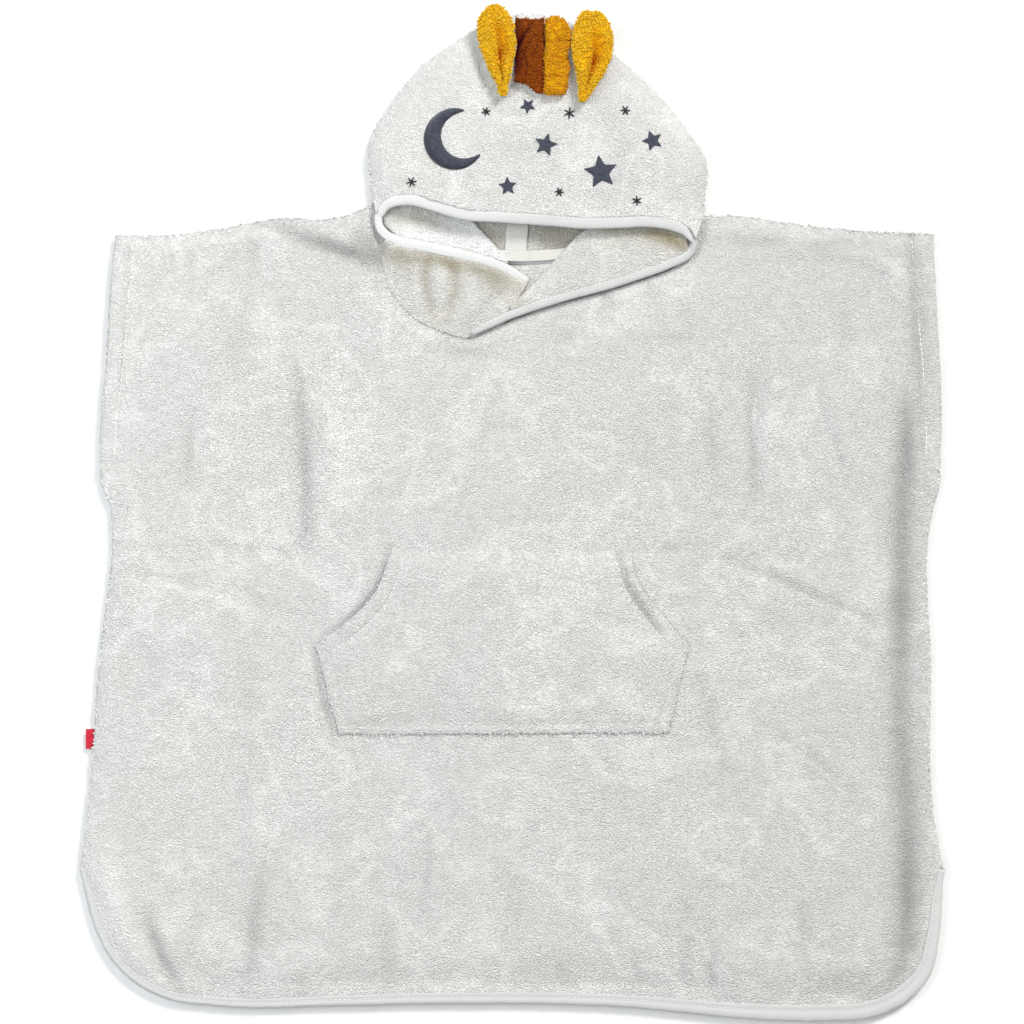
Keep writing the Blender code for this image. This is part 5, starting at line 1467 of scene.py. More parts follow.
# length of a piece and number of its cells, first along it and then up it
LEFT_FLAP_CELLS = (0.14, 96), (0.045, 30)
RIGHT_FLAP_CELLS = (0.14, 84), (0.04, 26)
FACE_CELLS = (0.23, 140), (0.11, 70)


def make_left_flap():
    """It rises from the neck seam to the lip and is gathered."""
    shares, rows = (cells(*part) for part in LEFT_FLAP_CELLS)
    low = along(moved_left(LEFT_NECK, -NECK_TUCK), shares)
    lip = smooth(LOWER_LIP_LEFT, even(DENSE))[::-1]
    lip = along(lip[lip[:, 1] < FLAP_LEFT_TOP], shares)
    high = moved_left(lip, -(lip[:, LIP_WIDTH] / 2 - 0.0012))
    grid = between(low, high, rows)
    climb = rows[:, None]
    gathers = HOOD_FOLD_DEPTH * over(grid, LEFT_FLAP_FOLDS)
    level = FRONT_MIDDLE + (lip[None, :, 2] - FRONT_MIDDLE) * np.sin(np.pi / 2 * climb)
    level += np.sin(np.pi * climb) ** 0.6 * (FLAP_BULGE + gathers) + 0.0001 * (1 - eased(climb / 0.12))
    # painted shade under the lip and in the gathers, and a faint painted highlight all over
    painted_shade_and_tone = INNER_DEPTH * over(grid, LEFT_FLAP_SHADING) - 0.02
    piece = cloth("hood_flap_left", lifted(grid, level), WALL, shaded_inner_terry(), seed=81, radius=0.0004, painted_shade_and_tone=painted_shade_and_tone)
    finished(piece, "terry_white", "hood_flap_left")


def make_right_flap():
    """It lies turned back, so that its inner side is up and its lip lies on the neck seam."""
    start, stop = FLAP_RIGHT_ENDS
    shares, rows = (cells(*part) for part in RIGHT_FLAP_CELLS)
    lip = smooth(LOWER_LIP_RIGHT, even(DENSE))[::-1]
    lip = along(lip[(lip[:, 0] > start) & (lip[:, 0] < stop)], shares)
    low = moved_left(lip, lip[:, LIP_WIDTH] / 2 - 0.0014)
    high = smooth(THROAT_FOLD_RIGHT, shares)
    grid = between(low, high, rows)
    climb = rows[:, None]
    swell = FLAP_SWELL * np.sin(np.pi * climb)
    drop = FLAP_DROP * eased(climb) * eased(FLAP_DROP_START * shares[None, :])
    level = lip[None, :, 2] - drop + swell + over(grid, RIGHT_FLAP_FOLDS) * np.sin(np.pi * climb)
    # painted shade in the right flap's corner under the lip
    painted_shade_and_tone = INNER_DEPTH * over(grid, RIGHT_FLAP_SHADING)
    piece = cloth("hood_flap_right", lifted(grid, level), FLAP_RIGHT_WALL, shaded_inner_terry(), seed=82, painted_shade_and_tone=painted_shade_and_tone)
    finished(piece, "terry_white", "hood_flap_right")


def make_flaps():
    make_left_flap()
    make_right_flap()


def face_level(points):
    """Middle of the face panel: a soft dome that falls to the hood's outline."""
    away = nearest(points, HOOD_ARCH[::6])[0]
    dome = HOOD_RIM + HOOD_RISE * (1 - np.exp(-away / HOOD_FALL))
    soft = HOOD_FOLD_DEPTH * folds(points, FACE_FOLDS)
    soft = soft + 0.0005 * uneven(points, 0.034, 91) + 0.0002 * uneven(points, 0.015, 92)
    return dome + soft * eased(away / 0.012)


def make_face():
    upper = smooth(UPPER_LIP, even(DENSE))
    spots = upper[:, :2] + sideways(upper) * (upper[:, LIP_WIDTH] / 2 - 0.0013)[:, None]
    low, high = FACE_ENDS
    spots = spots[(spots[:, 0] > low) & (spots[:, 0] < high) & (spots[:, 1] > FACE_LOWEST - 0.001)]
    columns, rows = (cells(*part) for part in FACE_CELLS)
    lower = along(spots, columns)
    left = along(np.vstack((lower[:1], HOOD_LEFT_LINE)), rows)
    right = along(np.vstack((lower[-1:], HOOD_RIGHT_LINE)), rows)
    grid = filled(lower, smooth(HOOD_TOP, columns), left, right)
    # painted shade in the face's creases and hollows, and a painted highlight all over
    painted_shade_and_tone = over(grid, FACE_SHADING) - 0.07
    radius = tight_at(grid, lower[::3], tight=0.0003, near=0.003)
    middle = lifted(grid, face_level)
    low_down = 1 - eased((grid[..., 1] - 0.202) / 0.012)
    beside = eased((grid[..., 0] - 0.118) / 0.008) + eased((-0.086 - grid[..., 0]) / 0.006)
    middle[..., 2] += FACE_CORNERS_PROUD * beside * low_down
    piece = cloth("hood_crown", middle, WALL, white_terry(), seed=93, radius=radius, painted_shade_and_tone=painted_shade_and_tone)
    finished(piece, "terry_white", "hood_crown")


MOUTH_OPENING = 34  # degrees from the tape's middle to the lips that hold the cloth
MOUTH_SIDES = (20, 9)  # points round the outside and back along the inside
MOUTH_INSIDE = (0.80, 0.66)  # size of the inside across and up
MOUTH_SQUARENESS = 0.78  # under 1 flattens the tape's top and underside
MOUTH_STEPS = (100, 190, 120)
# painted shade along the mouth tape, at steps along it: darker on its upper and right stretches, and below
# nought a painted highlight on its lower left
MOUTH_SHADING = (0, 100, 130, 200, 290, 310, 410), (-0.04, -0.06, 0.0, 0.12, 0.11, 0.14, 0.17)
MOUTH_TURN = 20  # steps over which it turns over at the right corner


def mouth_route():
    """Middle line of the mouth tape, and how far it has turned over at each point, in radians."""
    lips = (LOWER_LIP_LEFT, UPPER_LIP, LOWER_LIP_RIGHT)
    route = joined(*(smooth(lip, even(steps)) for lip, steps in zip(lips, MOUTH_STEPS)))
    turning = (np.arange(len(route)) - MOUTH_STEPS[0] - MOUTH_STEPS[1]) / MOUTH_TURN
    return route, np.pi * eased(turning + 0.5)


def mouth_section():
    """Round the outside from one lip to the other and back inside, across and up, both from -1 to 1."""
    outer = np.radians(np.linspace(MOUTH_OPENING, 360 - MOUTH_OPENING, MOUTH_SIDES[0]))
    inner = np.radians(np.linspace(360 - MOUTH_OPENING * 1.3, MOUTH_OPENING * 1.3, MOUTH_SIDES[1]))
    angle = np.concatenate((outer, inner))
    across = np.sign(np.cos(angle)) * np.abs(np.cos(angle)) ** MOUTH_SQUARENESS
    up = np.sign(np.sin(angle)) * np.abs(np.sin(angle)) ** MOUTH_SQUARENESS
    inside = np.arange(len(angle)) >= len(outer)
    across = np.where(inside, across * MOUTH_INSIDE[0], across)
    up = np.where(inside, up * MOUTH_INSIDE[1], up)
    groove = np.where(inside, 0, 0.13 * bell((across - 0.50) / 0.14))
    return across, up * (1 - groove)


def make_mouth_tape():
    route, turned = mouth_route()
    left = sideways(route)
    across, up = mouth_section()
    reach = reach_of(route[:, :3])
    step = np.stack((reach, reach * 0), axis=1)
    ripple = 0.00022 * uneven(step, 0.0052, 101) + 0.0002 * uneven(step, 0.021, 102)
    ends = np.minimum(reach, reach[-1] - reach)
    closing = np.sqrt(np.clip(1 - (1 - np.clip(ends / 0.0016, 0, 1)) ** 2, 0.09, 1))
    rings = np.empty((len(route), len(across), 3))
    for i, point in enumerate(route):
        wide = across * (point[LIP_WIDTH] / 2 * closing[i] + ripple[i] * 0.5)
        high = up * point[LIP_HEIGHT] / 2 * closing[i]
        beside = wide * math.cos(turned[i]) + high * math.sin(turned[i])
        rings[i, :, :2] = point[:2] + left[i] * beside[:, None]
        rings[i, :, 2] = point[2] + high * math.cos(turned[i]) - wide * math.sin(turned[i]) + ripple[i]
    # painted shade along the tape
    painted_shade_and_tone = np.interp(np.arange(len(route)), *MOUTH_SHADING)
    piece = tube("hood_binding", rings, white_tape(), np.repeat(painted_shade_and_tone, len(across)))
    finished(piece, "binding_white", "hood_binding")


# ---------------------------------------------------------------- ears, crest, motifs and side tab


def perch(points):
    """Height of what is sewn on the head: level where it is sewn, and drooping towards its end."""
    share = np.maximum(points[:, 1] - EAR_SEWN_Y, 0.0) / EAR_REACH
    return EAR_LEVEL - EAR_DROOP * share * share


def ear_grid(ear, shift, growth):
    """Rows across an ear, from its narrow base to its round top, with places across and up."""
    outline = smooth(ear.outline, cells(EAR_REACH, 46))
    across = 2 * cells(2 * ear.outline[6][2], 26) - 1
    half = outline[:, 2] + growth
    plan = np.empty((len(half), len(across), 2))
    plan[..., 0] = outline[:, None, 1] + half[:, None] * across[None, :] + shift[0]
    plan[..., 1] = outline[:, None, 0] + shift[1]
    rise = (plan[:, :1, 1] - plan[0, 0, 1]) / (plan[-1, 0, 1] - plan[0, 0, 1])
    return plan, across[None, :], rise


def make_ears():
    mustard = mustard_terry()
    for number, ear in enumerate(EARS):
        plan = ear_grid(ear, EAR_BACK_SHIFT, EAR_BACK_GROWTH)[0]
        middle = lifted(plan, lambda points: perch(points) + EAR_WALL / 2)
        back = cloth(f"ear_{ear.name}_back", middle, EAR_WALL, white_terry(), seed=110 + number)
        finished(back, "terry_white", f"ear_{ear.name}_back")
        plan, across, t = ear_grid(ear, np.zeros(2), 0.0)
        level = perch(plan.reshape(-1, 2)).reshape(plan.shape[:2]) + EAR_FRONT_RISE
        shut = (1 - eased((t - 0.40) / 0.18)) * eased(t * 8)
        crease = bell((across - 0.06) / (0.12 + 0.16 * (1 - t))) * shut
        valley = eased((across + 0.14) / 0.18) * (1 - eased((across - 0.15) / 0.70))
        valley = valley * eased((t - 0.28) / 0.20) * (1 - eased((t - 0.62) / 0.24))
        cup = 0.0020 * bell((np.abs(across) - 0.60) / 0.32) * shut
        cup = cup + 0.0026 * (1 - across**2) * (1 - 0.7 * shut) + 0.0006 * uneven(plan, 0.0085, 112)
        cup = cup - 0.0016 * crease - 0.0012 * valley
        # painted shade in the crease, the valley and at the outer edges, a painted highlight on the lobes,
        # and some random tone
        painted_shade_and_tone = 0.80 * crease + 0.70 * valley + 0.12 * np.abs(across) ** 6
        painted_shade_and_tone = painted_shade_and_tone - 0.10 * bell((np.abs(across) - 0.62) / 0.25) + 0.06 * uneven(plan, 0.006, 115)
        name, middle = f"ear_{ear.name}_front", lifted(plan, level + cup)
        front = cloth(name, middle, EAR_WALL, mustard, nap=0.0004, seed=113 + number, painted_shade_and_tone=painted_shade_and_tone)
        finished(front, "mustard", name)


def make_crest():
    finishes = {"mustard": mustard_terry(), "brown": brown_terry()}
    for tab in CREST:
        middle_x = (tab.left + tab.right) / 2
        t = cells(tab.top - tab.bottom, 60)[:, None]
        across = 2 * cells(tab.right - tab.left, 30)[None, :] - 1
        plan = np.empty((t.size, across.size, 2))
        foot, head = np.interp(across, *TAB_FEET[tab.name]), np.interp(across, *TAB_HEADS[tab.name])
        plan[..., 1] = tab.bottom + (tab.top - tab.bottom) * t
        plan[..., 1] += foot * (1 - eased(t / 0.5)) + head * eased((t - 0.80) / 0.20)
        right = np.interp(plan[..., 1], *YELLOW_SIDE) if tab.name == "yellow" else tab.right
        plan[..., 0] = tab.left + (right - tab.left) * (across + 1) / 2
        level = perch(np.stack((np.full(t.size, middle_x), plan[:, 0, 1]), axis=1))[:, None]
        height = tab.thickness * (1 - 0.35 * eased((t - 0.80) / 0.20)) * (1 - 0.25 * across**4)
        if tab.name == "brown":
            # painted shade in the brown tab's creases, which also sink them; then more painted shade towards
            # its left side, and a little all over
            painted_shade_and_tone = 1.5 * over(plan, BROWN_SHADING)
            height = height - 0.0022 * painted_shade_and_tone + 0.0010 * uneven(plan, 0.007, 121)
            painted_shade_and_tone = painted_shade_and_tone + 0.22 * (1 - eased((across + 0.75) / 0.6)) + 0.05
        else:
            # painted shade along the yellow tab's folds and valleys, which also sink them; then the whole tab
            # is made darker
            painted_shade_and_tone = 1.3 * over(plan, YELLOW_SHADING)
            reach = 0.35 + 0.65 * eased((across + 0.3) / 1.0)
            for low, change in YELLOW_VALLEYS:
                painted_shade_and_tone = painted_shade_and_tone + 0.85 * bell((plan[..., 1] - low - change * across) / 0.0011) * reach
            height = height - 0.0030 * painted_shade_and_tone + 0.0008 * uneven(plan, 0.007, 122)
            painted_shade_and_tone = painted_shade_and_tone + 0.24
        name, middle, finish = f"crest_{tab.name}", lifted(plan, level + height / 2), finishes[tab.colour]
        piece = cloth(name, middle, height, finish, nap=0.0003, seed=123, radius=0.0028, painted_shade_and_tone=painted_shade_and_tone)
        finished(piece, tab.colour, name)


def on_face(points):
    return face_level(points) + WALL / 2 + 0.0001


def make_moon():
    """Crescent between two arcs that meet near its horns."""
    turn = 2 * even(64) - 1
    angle = math.radians(MOON_TURN) + math.radians(180 - MOON_OPENING) * turn
    share = np.maximum(np.cos(turn * np.pi / 2), 0.0) ** MOON_FULLNESS
    width = LEAST_HORN + (MOON_WIDTH - LEAST_HORN) * share
    ray = np.stack((np.cos(angle), np.sin(angle)), axis=1)
    depth = (1 - np.array((0, 0.06, 0.14, 0.3, 0.5, 0.7, 0.86, 0.94, 1.0)))[:, None] * width[None, :]
    plan = MOON_CENTRE + ray[None] * (MOON_RADIUS - depth)[..., None]
    middle = lifted(plan, lambda points: on_face(points) + TAPE / 2)
    piece = cloth("motif_moon", middle, TAPE, slate_pile(), nap=0.0001, radius=0.0007, ragged=0.0001)
    finished(piece, "slate", "motif_moon")


STAR_RINGS = (0.0001, 0.35, 0.62, 0.82, 0.93, 1.0)  # from a star's middle to its outline
STAR_ROUNDING = 0.10  # share of a side that its rounded corner takes
STAR_SIDE_POINTS = 6


def star_outline(star):
    """Ten corners of a star, slightly rounded, with points between them."""
    angle = np.radians(90 + star.turn + 36 * np.arange(11))
    reach = star.radius * np.where(np.arange(11) % 2, STAR_WAIST, 1.0)
    corners = np.stack((star.x + reach * np.cos(angle), star.y + reach * np.sin(angle)), axis=1)
    outline = []
    for start, stop in zip(corners, corners[1:]):
        for share in np.linspace(STAR_ROUNDING, 1 - STAR_ROUNDING, STAR_SIDE_POINTS):
            outline.append(start + (stop - start) * share)
    return np.array(outline)


def make_star(name, star):
    """Star cut from felt: rings from its middle to its rounded edge, on both sides."""
    outline = star_outline(star)
    centre = np.array((star.x, star.y))
    grid = centre + (outline[None] - centre) * np.array(STAR_RINGS)[:, None, None]
    away = nearest(grid.reshape(-1, 2), np.vstack((outline, outline[:1])))[0].reshape(grid.shape[:2])
    middle = lifted(grid, lambda points: on_face(points) + TAPE / 2)
    half = TAPE / 2 * rounded(away, 0.0007)
    top, low = middle.copy(), middle[:-1].copy()
    top[..., 2] += half
    low[..., 2] -= half[:-1]
    points = np.vstack((top.reshape(-1, 3), low.reshape(-1, 3)))
    upper = np.arange(half.size).reshape(half.shape)
    under = np.vstack((upper[:-1] + half.size, upper[-1:]))
    faces = [upper[0].tolist()] + [face[:1] + face[:0:-1] for face in skin(upper)]
    faces += [under[0, ::-1].tolist()] + skin(under)
    piece = mesh_piece(name, points, faces, slate_pile())
    finished(piece, "slate", name)


def make_motifs():
    make_moon()
    for number, star in enumerate(STARS, 1):
        make_star(f"motif_star_{number}", star)


LABEL_TUCK = 0.0015  # how far its ends go into the seam
RIB_HEIGHT = 0.00005
RIB_SPACING = 0.0008


def make_side_tab():
    """Bare ribbon folded in two, sewn into the left side seam."""
    seam = SEAM_LINES["left"]
    low, high = LABEL_Y
    inner = seam[(seam[:, 1] > low) & (seam[:, 1] < high), 0].min() + LABEL_TUCK
    reach = cells(LABEL_REACH + LABEL_TUCK, 14)
    height = cells(high - low, 22)
    plan = np.empty((len(height), len(reach), 2))
    plan[..., 0] = inner - (LABEL_REACH + LABEL_TUCK) * (1 - reach[None, :])
    plan[..., 1] = low + (high - low) * height[:, None]
    ribs = RIB_HEIGHT * np.sin(plan[..., 1] / RIB_SPACING * 2 * np.pi)
    middle = lifted(plan, FRONT_LOW + ribs + 0.0003 * uneven(plan, 0.006, 131))
    finish = thread("red_ribbon", palette().tab_dark, palette().tab_light, *TAB_THREAD)
    piece = cloth("side_label", middle, LABEL_THICKNESS, finish, nap=0.0, radius=0.0006, ragged=0.0)
    finished(piece, "label_red", "side_label")


# ---------------------------------------------------------------- stitches

# spacing, length and thickness of a row's stitches
CUFF_ROW = (0.0034, 0.0031, 0.0010)
HEM_ROW = (0.0034, 0.0026, 0.00045)
MOUTH_ROW = (0.0032, 0.0025, 0.00045)
POCKET_ROW = (0.0036, 0.0028, 0.0006)
STITCH_TONES = (0.84, 0.84, 0.82), (0.95, 0.95, 0.94)
STITCH_FLATNESS = 0.8
SPARKLE_THREAD = 0.0007
SPARKLE_APART = 0.00056  # between the two threads of a spoke

def stitch_shape():
    """Points and faces of a small ball. Its faces come in any order, so they are sorted by their corners."""
    bpy.ops.object.select_all(action="DESELECT")
    bpy.ops.mesh.primitive_uv_sphere_add(segments=6, ring_count=4, radius=0.5, rotation=(0, math.pi / 2, 0))
    shape = bpy.context.object
    bpy.ops.object.transform_apply(location=False, rotation=True, scale=False)
    points = np.array([vertex.co for vertex in shape.data.vertices])
    faces = sorted((list(face.vertices) for face in shape.data.polygons), key=sorted)
    mesh = shape.data
    bpy.data.objects.remove(shape)
    bpy.data.meshes.remove(mesh)
    return points, faces


def stitch_piece(name, rows, finish):
    """Stitches along rows of (points, length, thickness): a drawn-out ball from each point to the next."""
    shape, shape_faces = stitch_shape()
    points, faces = [], []
    for line, length, thickness in rows:
        line = np.asarray(line)
        for start, stop in zip(line, line[1:]):
            ahead = stop - start
            ahead = ahead / max(np.linalg.norm(ahead), 1e-12)
            beside = np.cross((0, 0, 1), ahead)
            beside = beside / max(np.linalg.norm(beside), 1e-12)
            up = np.cross(ahead, beside)
            place = (start + stop) / 2
            made = place + shape[:, :1] * length * ahead + shape[:, 1:2] * thickness * beside
            made = made + shape[:, 2:] * thickness * STITCH_FLATNESS * up
            offset = len(points)
            points.extend(made)
            faces.extend([[corner + offset for corner in face] for face in shape_faces])
    return mesh_piece(name, points, faces, finish)


def stitch_row(line, spacing, length, thickness):
    """A row for stitch_piece, with its stitches at a spacing."""
    return along(line, even(max(int(reach_of(line)[-1] / spacing), 1))), length, thickness


def seam_rows():
    """Rows of white stitches: cuffs, hem tape and mouth tape."""
    rows = []
    where = np.linspace(0.02, 0.98, 60)
    for edge, line in CUFF_LINES.items():
        turn = 1 if edge == "left" else -1
        path = moved_left(along(line, where), -turn * cuff_band(where, edge))
        rows.append(stitch_row(lifted(path, lambda points: front_top(points, 0.0003)), *CUFF_ROW))
    hem = HEM_LINE[4:-4]
    width = hem_width()[4:-4]
    level = front_level(moved_left(hem, width)) + WALL / 2 + 0.00055
    rows.append(stitch_row(lifted(moved_left(hem, width * (1 - HEM_STITCH)), level), *HEM_ROW))
    route, turned = mouth_route()
    middle = slice(6, -6)
    offset = route[middle, LIP_WIDTH] / 2 * 0.50 * np.cos(turned[middle])
    path = route[middle, :2] + sideways(route)[middle] * offset[:, None]
    level = route[middle, 2] + route[middle, LIP_HEIGHT] / 2 - 0.00012
    rows.append(stitch_row(lifted(path, level), *MOUTH_ROW))
    return rows


def pocket_stitches():
    """Stitches round the pocket, a little inside its edge."""
    rows = []
    loop = np.vstack((POCKET_LOOP, POCKET_LOOP[:1]))
    hems = [(edge, POCKET_HEM) for edge in POCKET_SIDES] + [(mouth, MOUTH_HEM) for mouth in POCKET_MOUTHS]
    middle = POCKET_GRID.reshape(-1, 2).mean(axis=0)
    for edge, hem in hems:
        path = along(edge, even(120))
        inwards = 1 if np.sum(sideways(path)[60] * (middle - path[60])) > 0 else -1
        path = moved_left(path, inwards * hem)
        path = path[nearest(path, loop)[0] > hem * 0.96]
        path = lifted(path, lambda points: pocket_base(points) + POCKET_WALL + 0.0001)
        rows.append(stitch_row(path, *POCKET_ROW))
    return rows


def make_stitches():
    white = thread("thread_white", *STITCH_TONES, 0.0003, 0.0001, 0.6)
    seams = stitch_piece("seam_stitches", seam_rows() + pocket_stitches(), white)
    finished(seams, "binding_white")
    sparkles = []
    for star in SPARKLES:
        for spoke in range(3):
            angle = math.radians(star.turn + 60 * spoke)
            ray = np.array((math.cos(angle), math.sin(angle))) * star.radius
            for shift in (-SPARKLE_APART / 2, SPARKLE_APART / 2):
                middle = (star.x, star.y) + np.array((-ray[1], ray[0])) / star.radius * shift
                path = lifted(np.array((middle - ray, middle + ray)), lambda points: on_face(points) + 0.0004)
                sparkles.append((path, 2 * star.radius, SPARKLE_THREAD))
    black = thread("thread_black", palette().thread_dark, palette().thread_light, 0.0003, 0.0001, 0.5)
    finished(stitch_piece("sparkle_stitches", sparkles, black), "slate")


# ---------------------------------------------------------------- loose loops

LOOP_STEPS = 3
LOOP_SIDES = 3
# painted shade at the roots of a curl
ROOT_SHADE = 0.8
EAR_LOOPS = 1000
TAB_LOOPS = 700
# size of a curl and thickness of its yarn
BODY_CURL = (0.0018, 0.0006)
HOOD_CURL = (0.0022, 0.0007)
POCKET_CURL = (0.0014, 0.0005)
NECK_CURL = (0.0011, 0.0005)
EAR_CURL = (0.0019, 0.00062)
TAB_CURL = (0.0015, 0.00055)
# distance from curl to curl along an outline
FRONT_SPACING = 0.00042
BACK_SIDE_SPACING = 0.0022
BACK_SHOULDER_SPACING = 0.0060
HOOD_SPACING = 0.0004
HOOD_BACK_SPACING = 0.0010
POCKET_SPACING = 0.0008
NECK_SPACING = 0.0004
EAR_SPACING = 0.00045
LOW_LEVEL = flat(WALL / 2 + 0.0002)  # where the curls of the back's outline stand
RIGHT_SHOULDER_SLIP = -0.0024  # the cloth's edge lies this much below the right shoulder's line
# the dark tone is what a curl's painted shade goes towards
CURLS = {  # light tone, dark tone and sheen
    "white_curls": ((0.98, 0.98, 0.97), (0.80, 0.80, 0.79), 0.4),
    "mustard_curls": ((1.0, 0.72, 0.036), (0.76, 0.29, 0.001), 0.05),
    "amber_curls": ((0.98, 0.50, 0.016), (0.42, 0.09, 0.001), 0.05),
    "brown_curls": ((0.44, 0.105, 0.006), (0.09, 0.010, 0.003), 0.03),
}


def loops_piece(name, spots, outward, size, thickness, seed, finish, lean=0.0, slim=1.0, shade=0.0):
    """Small curls of yarn that stand out of the pile: one bent strand for each spot, with painted shade at
    its roots and as much more as the shade given for it.
    """
    chance = np.random.RandomState(seed)
    count = len(spots)
    t = np.linspace(0, 1, LOOP_STEPS + 1)
    arc_out = np.sin(np.pi * t)
    arc_side = np.cos(np.pi * t) * -0.5
    out = outward + chance.normal(0, 0.35, (count, 3)) + lean
    out /= np.linalg.norm(out, axis=1)[:, None]
    across = np.cross(chance.normal(0, 1, (count, 3)), out)
    across /= np.maximum(np.linalg.norm(across, axis=1), 1e-9)[:, None]
    length = size * chance.uniform(0.6, 1.3, count)[:, None, None]
    width = slim * size * chance.uniform(0.5, 1.0, count)[:, None, None]
    centre = (
        spots[:, None]
        + out[:, None] * arc_out[None, :, None] * length
        + across[:, None] * arc_side[None, :, None] * width
    )
    third = np.cross(out, across)
    angle = 2 * np.pi * np.arange(LOOP_SIDES) / LOOP_SIDES
    away = out[:, None] * (0.5 * np.sin(np.pi * t))[None, :, None] * width
    away -= across[:, None] * np.cos(np.pi * t)[None, :, None] * length
    away /= np.linalg.norm(away, axis=2)[..., None]
    ring = np.cos(angle)[None, None, :, None] * third[:, None, None]
    ring = ring + np.sin(angle)[None, None, :, None] * away[:, :, None]
    points = (centre[:, :, None] + ring * thickness / 2).reshape(-1, 3)
    index = np.arange(len(points)).reshape(count, LOOP_STEPS + 1, LOOP_SIDES)
    faces = skin(index) + index[:, 0, ::-1].tolist() + index[:, -1].tolist()
    # painted shade at each curl's roots, and the painted shade given for it
    roots = np.broadcast_to(ROOT_SHADE * (1 - arc_out), (count, LOOP_STEPS + 1))
    painted_shade_and_tone = roots + np.broadcast_to(shade, count)[:, None]
    return mesh_piece(name, points, faces, finish, painted_shade_and_tone=np.repeat(painted_shade_and_tone, LOOP_SIDES, axis=1))


def edge_spots(path, level, spacing, seed, depth=0.0011):
    """Random spots along an outline's rounded edge, and the way out from each of them."""
    chance = np.random.RandomState(seed)
    count = int(reach_of(path)[-1] / spacing)
    shares = np.sort(chance.uniform(0, 1, count))
    spots = along(path, shares)
    ways = sideways(along(path, even(2000)))[np.minimum((shares * 2000).astype(int), 2000)]
    tilt = chance.uniform(-1.0, 1.2, count)
    inset = chance.uniform(0.0005, 0.0021, count)[:, None]
    place = np.column_stack((spots - ways * inset, level(spots) + np.sin(tilt) * depth))
    return place, np.column_stack((ways * np.cos(tilt)[:, None], np.sin(tilt)))


def read_all(items, name, width=1, kind=float):
    """One value or vector of each item of a mesh."""
    values = np.empty(width * len(items), kind)
    items.foreach_get(name, values)
    return values if width == 1 else values.reshape(-1, width)


def spots_over(piece, count, seed):
    """Random spots all over a piece's upper side, fewer where it is painted darker, the way out from each of
    them, and the painted shade there.
    """
    chance = np.random.RandomState(seed)
    mesh = piece.data
    centres = read_all(mesh.polygons, "center", 3)
    normals = read_all(mesh.polygons, "normal", 3)
    areas = read_all(mesh.polygons, "area")
    first = read_all(mesh.polygons, "loop_start", kind=np.int32)
    corner = read_all(mesh.loops, "vertex_index", kind=np.int32)
    painted_shade_and_tone = read_all(mesh.attributes["painted_shade_and_tone"].data, "value")[corner[first]]
    # fewer curls where the cloth is painted darker
    weight = areas * (normals[:, 2] > 0.05) * np.clip(1 - 1.5 * painted_shade_and_tone, 0.05, 1)
    chosen = chance.choice(len(areas), count, p=weight / weight.sum())
    centre, out = centres[chosen], normals[chosen]
    shift = chance.normal(0, 1, (count, 3)) * np.sqrt(areas[chosen])[:, None] * 0.4
    shift -= np.sum(shift * out, axis=1)[:, None] * out
    return centre + shift - out * 0.0003, out, np.clip(painted_shade_and_tone[chosen], 0, 1)


def edge_loops(name, outlines, seeds, curl, finish):
    """Curls along outlines, each given as a line, its height function and the spacing of the curls."""
    parts = [edge_spots(*outline, seeds[0] + number) for number, outline in enumerate(outlines)]
    place, out = (np.vstack(part) for part in zip(*parts))
    finished(loops_piece(name, place, out, *curl, seeds[1], finish), "terry_white")


def body_outlines():
    """The outlines of the body that have curls: the sides with the cuffs, and the shoulders."""
    lines = []
    for edge, turn in (("left", 1), ("right", -1)):
        line = joined(SEAM_LINES[edge], side(UNDERARM, edge), CUFF_LINES[edge])
        lines.append((line[::turn], BACK_SIDE_SPACING))
    slip = np.array((0.0, RIGHT_SHOULDER_SLIP))
    lines.append((smooth(SHOULDER_LEFT, even(DENSE)), BACK_SHOULDER_SPACING))
    lines.append((smooth(SHOULDER_RIGHT, even(DENSE)) + slip, BACK_SHOULDER_SPACING))
    outlines = []
    for line, spacing in lines:
        outlines += [(line, front_level, FRONT_SPACING), (line, LOW_LEVEL, spacing)]
    return outlines


def make_pocket_loops(finish):
    """Curls along the pocket's lower edge and sides."""
    loop = np.vstack((POCKET_LOOP, POCKET_LOOP[:1]))[::-1]
    place, out = edge_spots(
        loop, lambda points: pocket_base(points) + POCKET_WALL / 2, POCKET_SPACING, 155
    )
    sewn = place[:, 1] < POCKET_LOOPS_TOP
    piece = loops_piece("pocket_loops", place[sewn], out[sewn], *POCKET_CURL, 156, finish)
    finished(piece, "terry_white")


def make_neck_loops(finish):
    """Curls along the front's neckline beside the left throat flap."""
    place, out = edge_spots(LEFT_NECK, flat(FRONT_MIDDLE + 0.0006), NECK_SPACING, 157)
    upright = np.abs(out) * (0.3, 0.3, 1.0)
    piece = loops_piece("neck_loops", place, upright, *NECK_CURL, 158, finish)
    finished(piece, "terry_white")


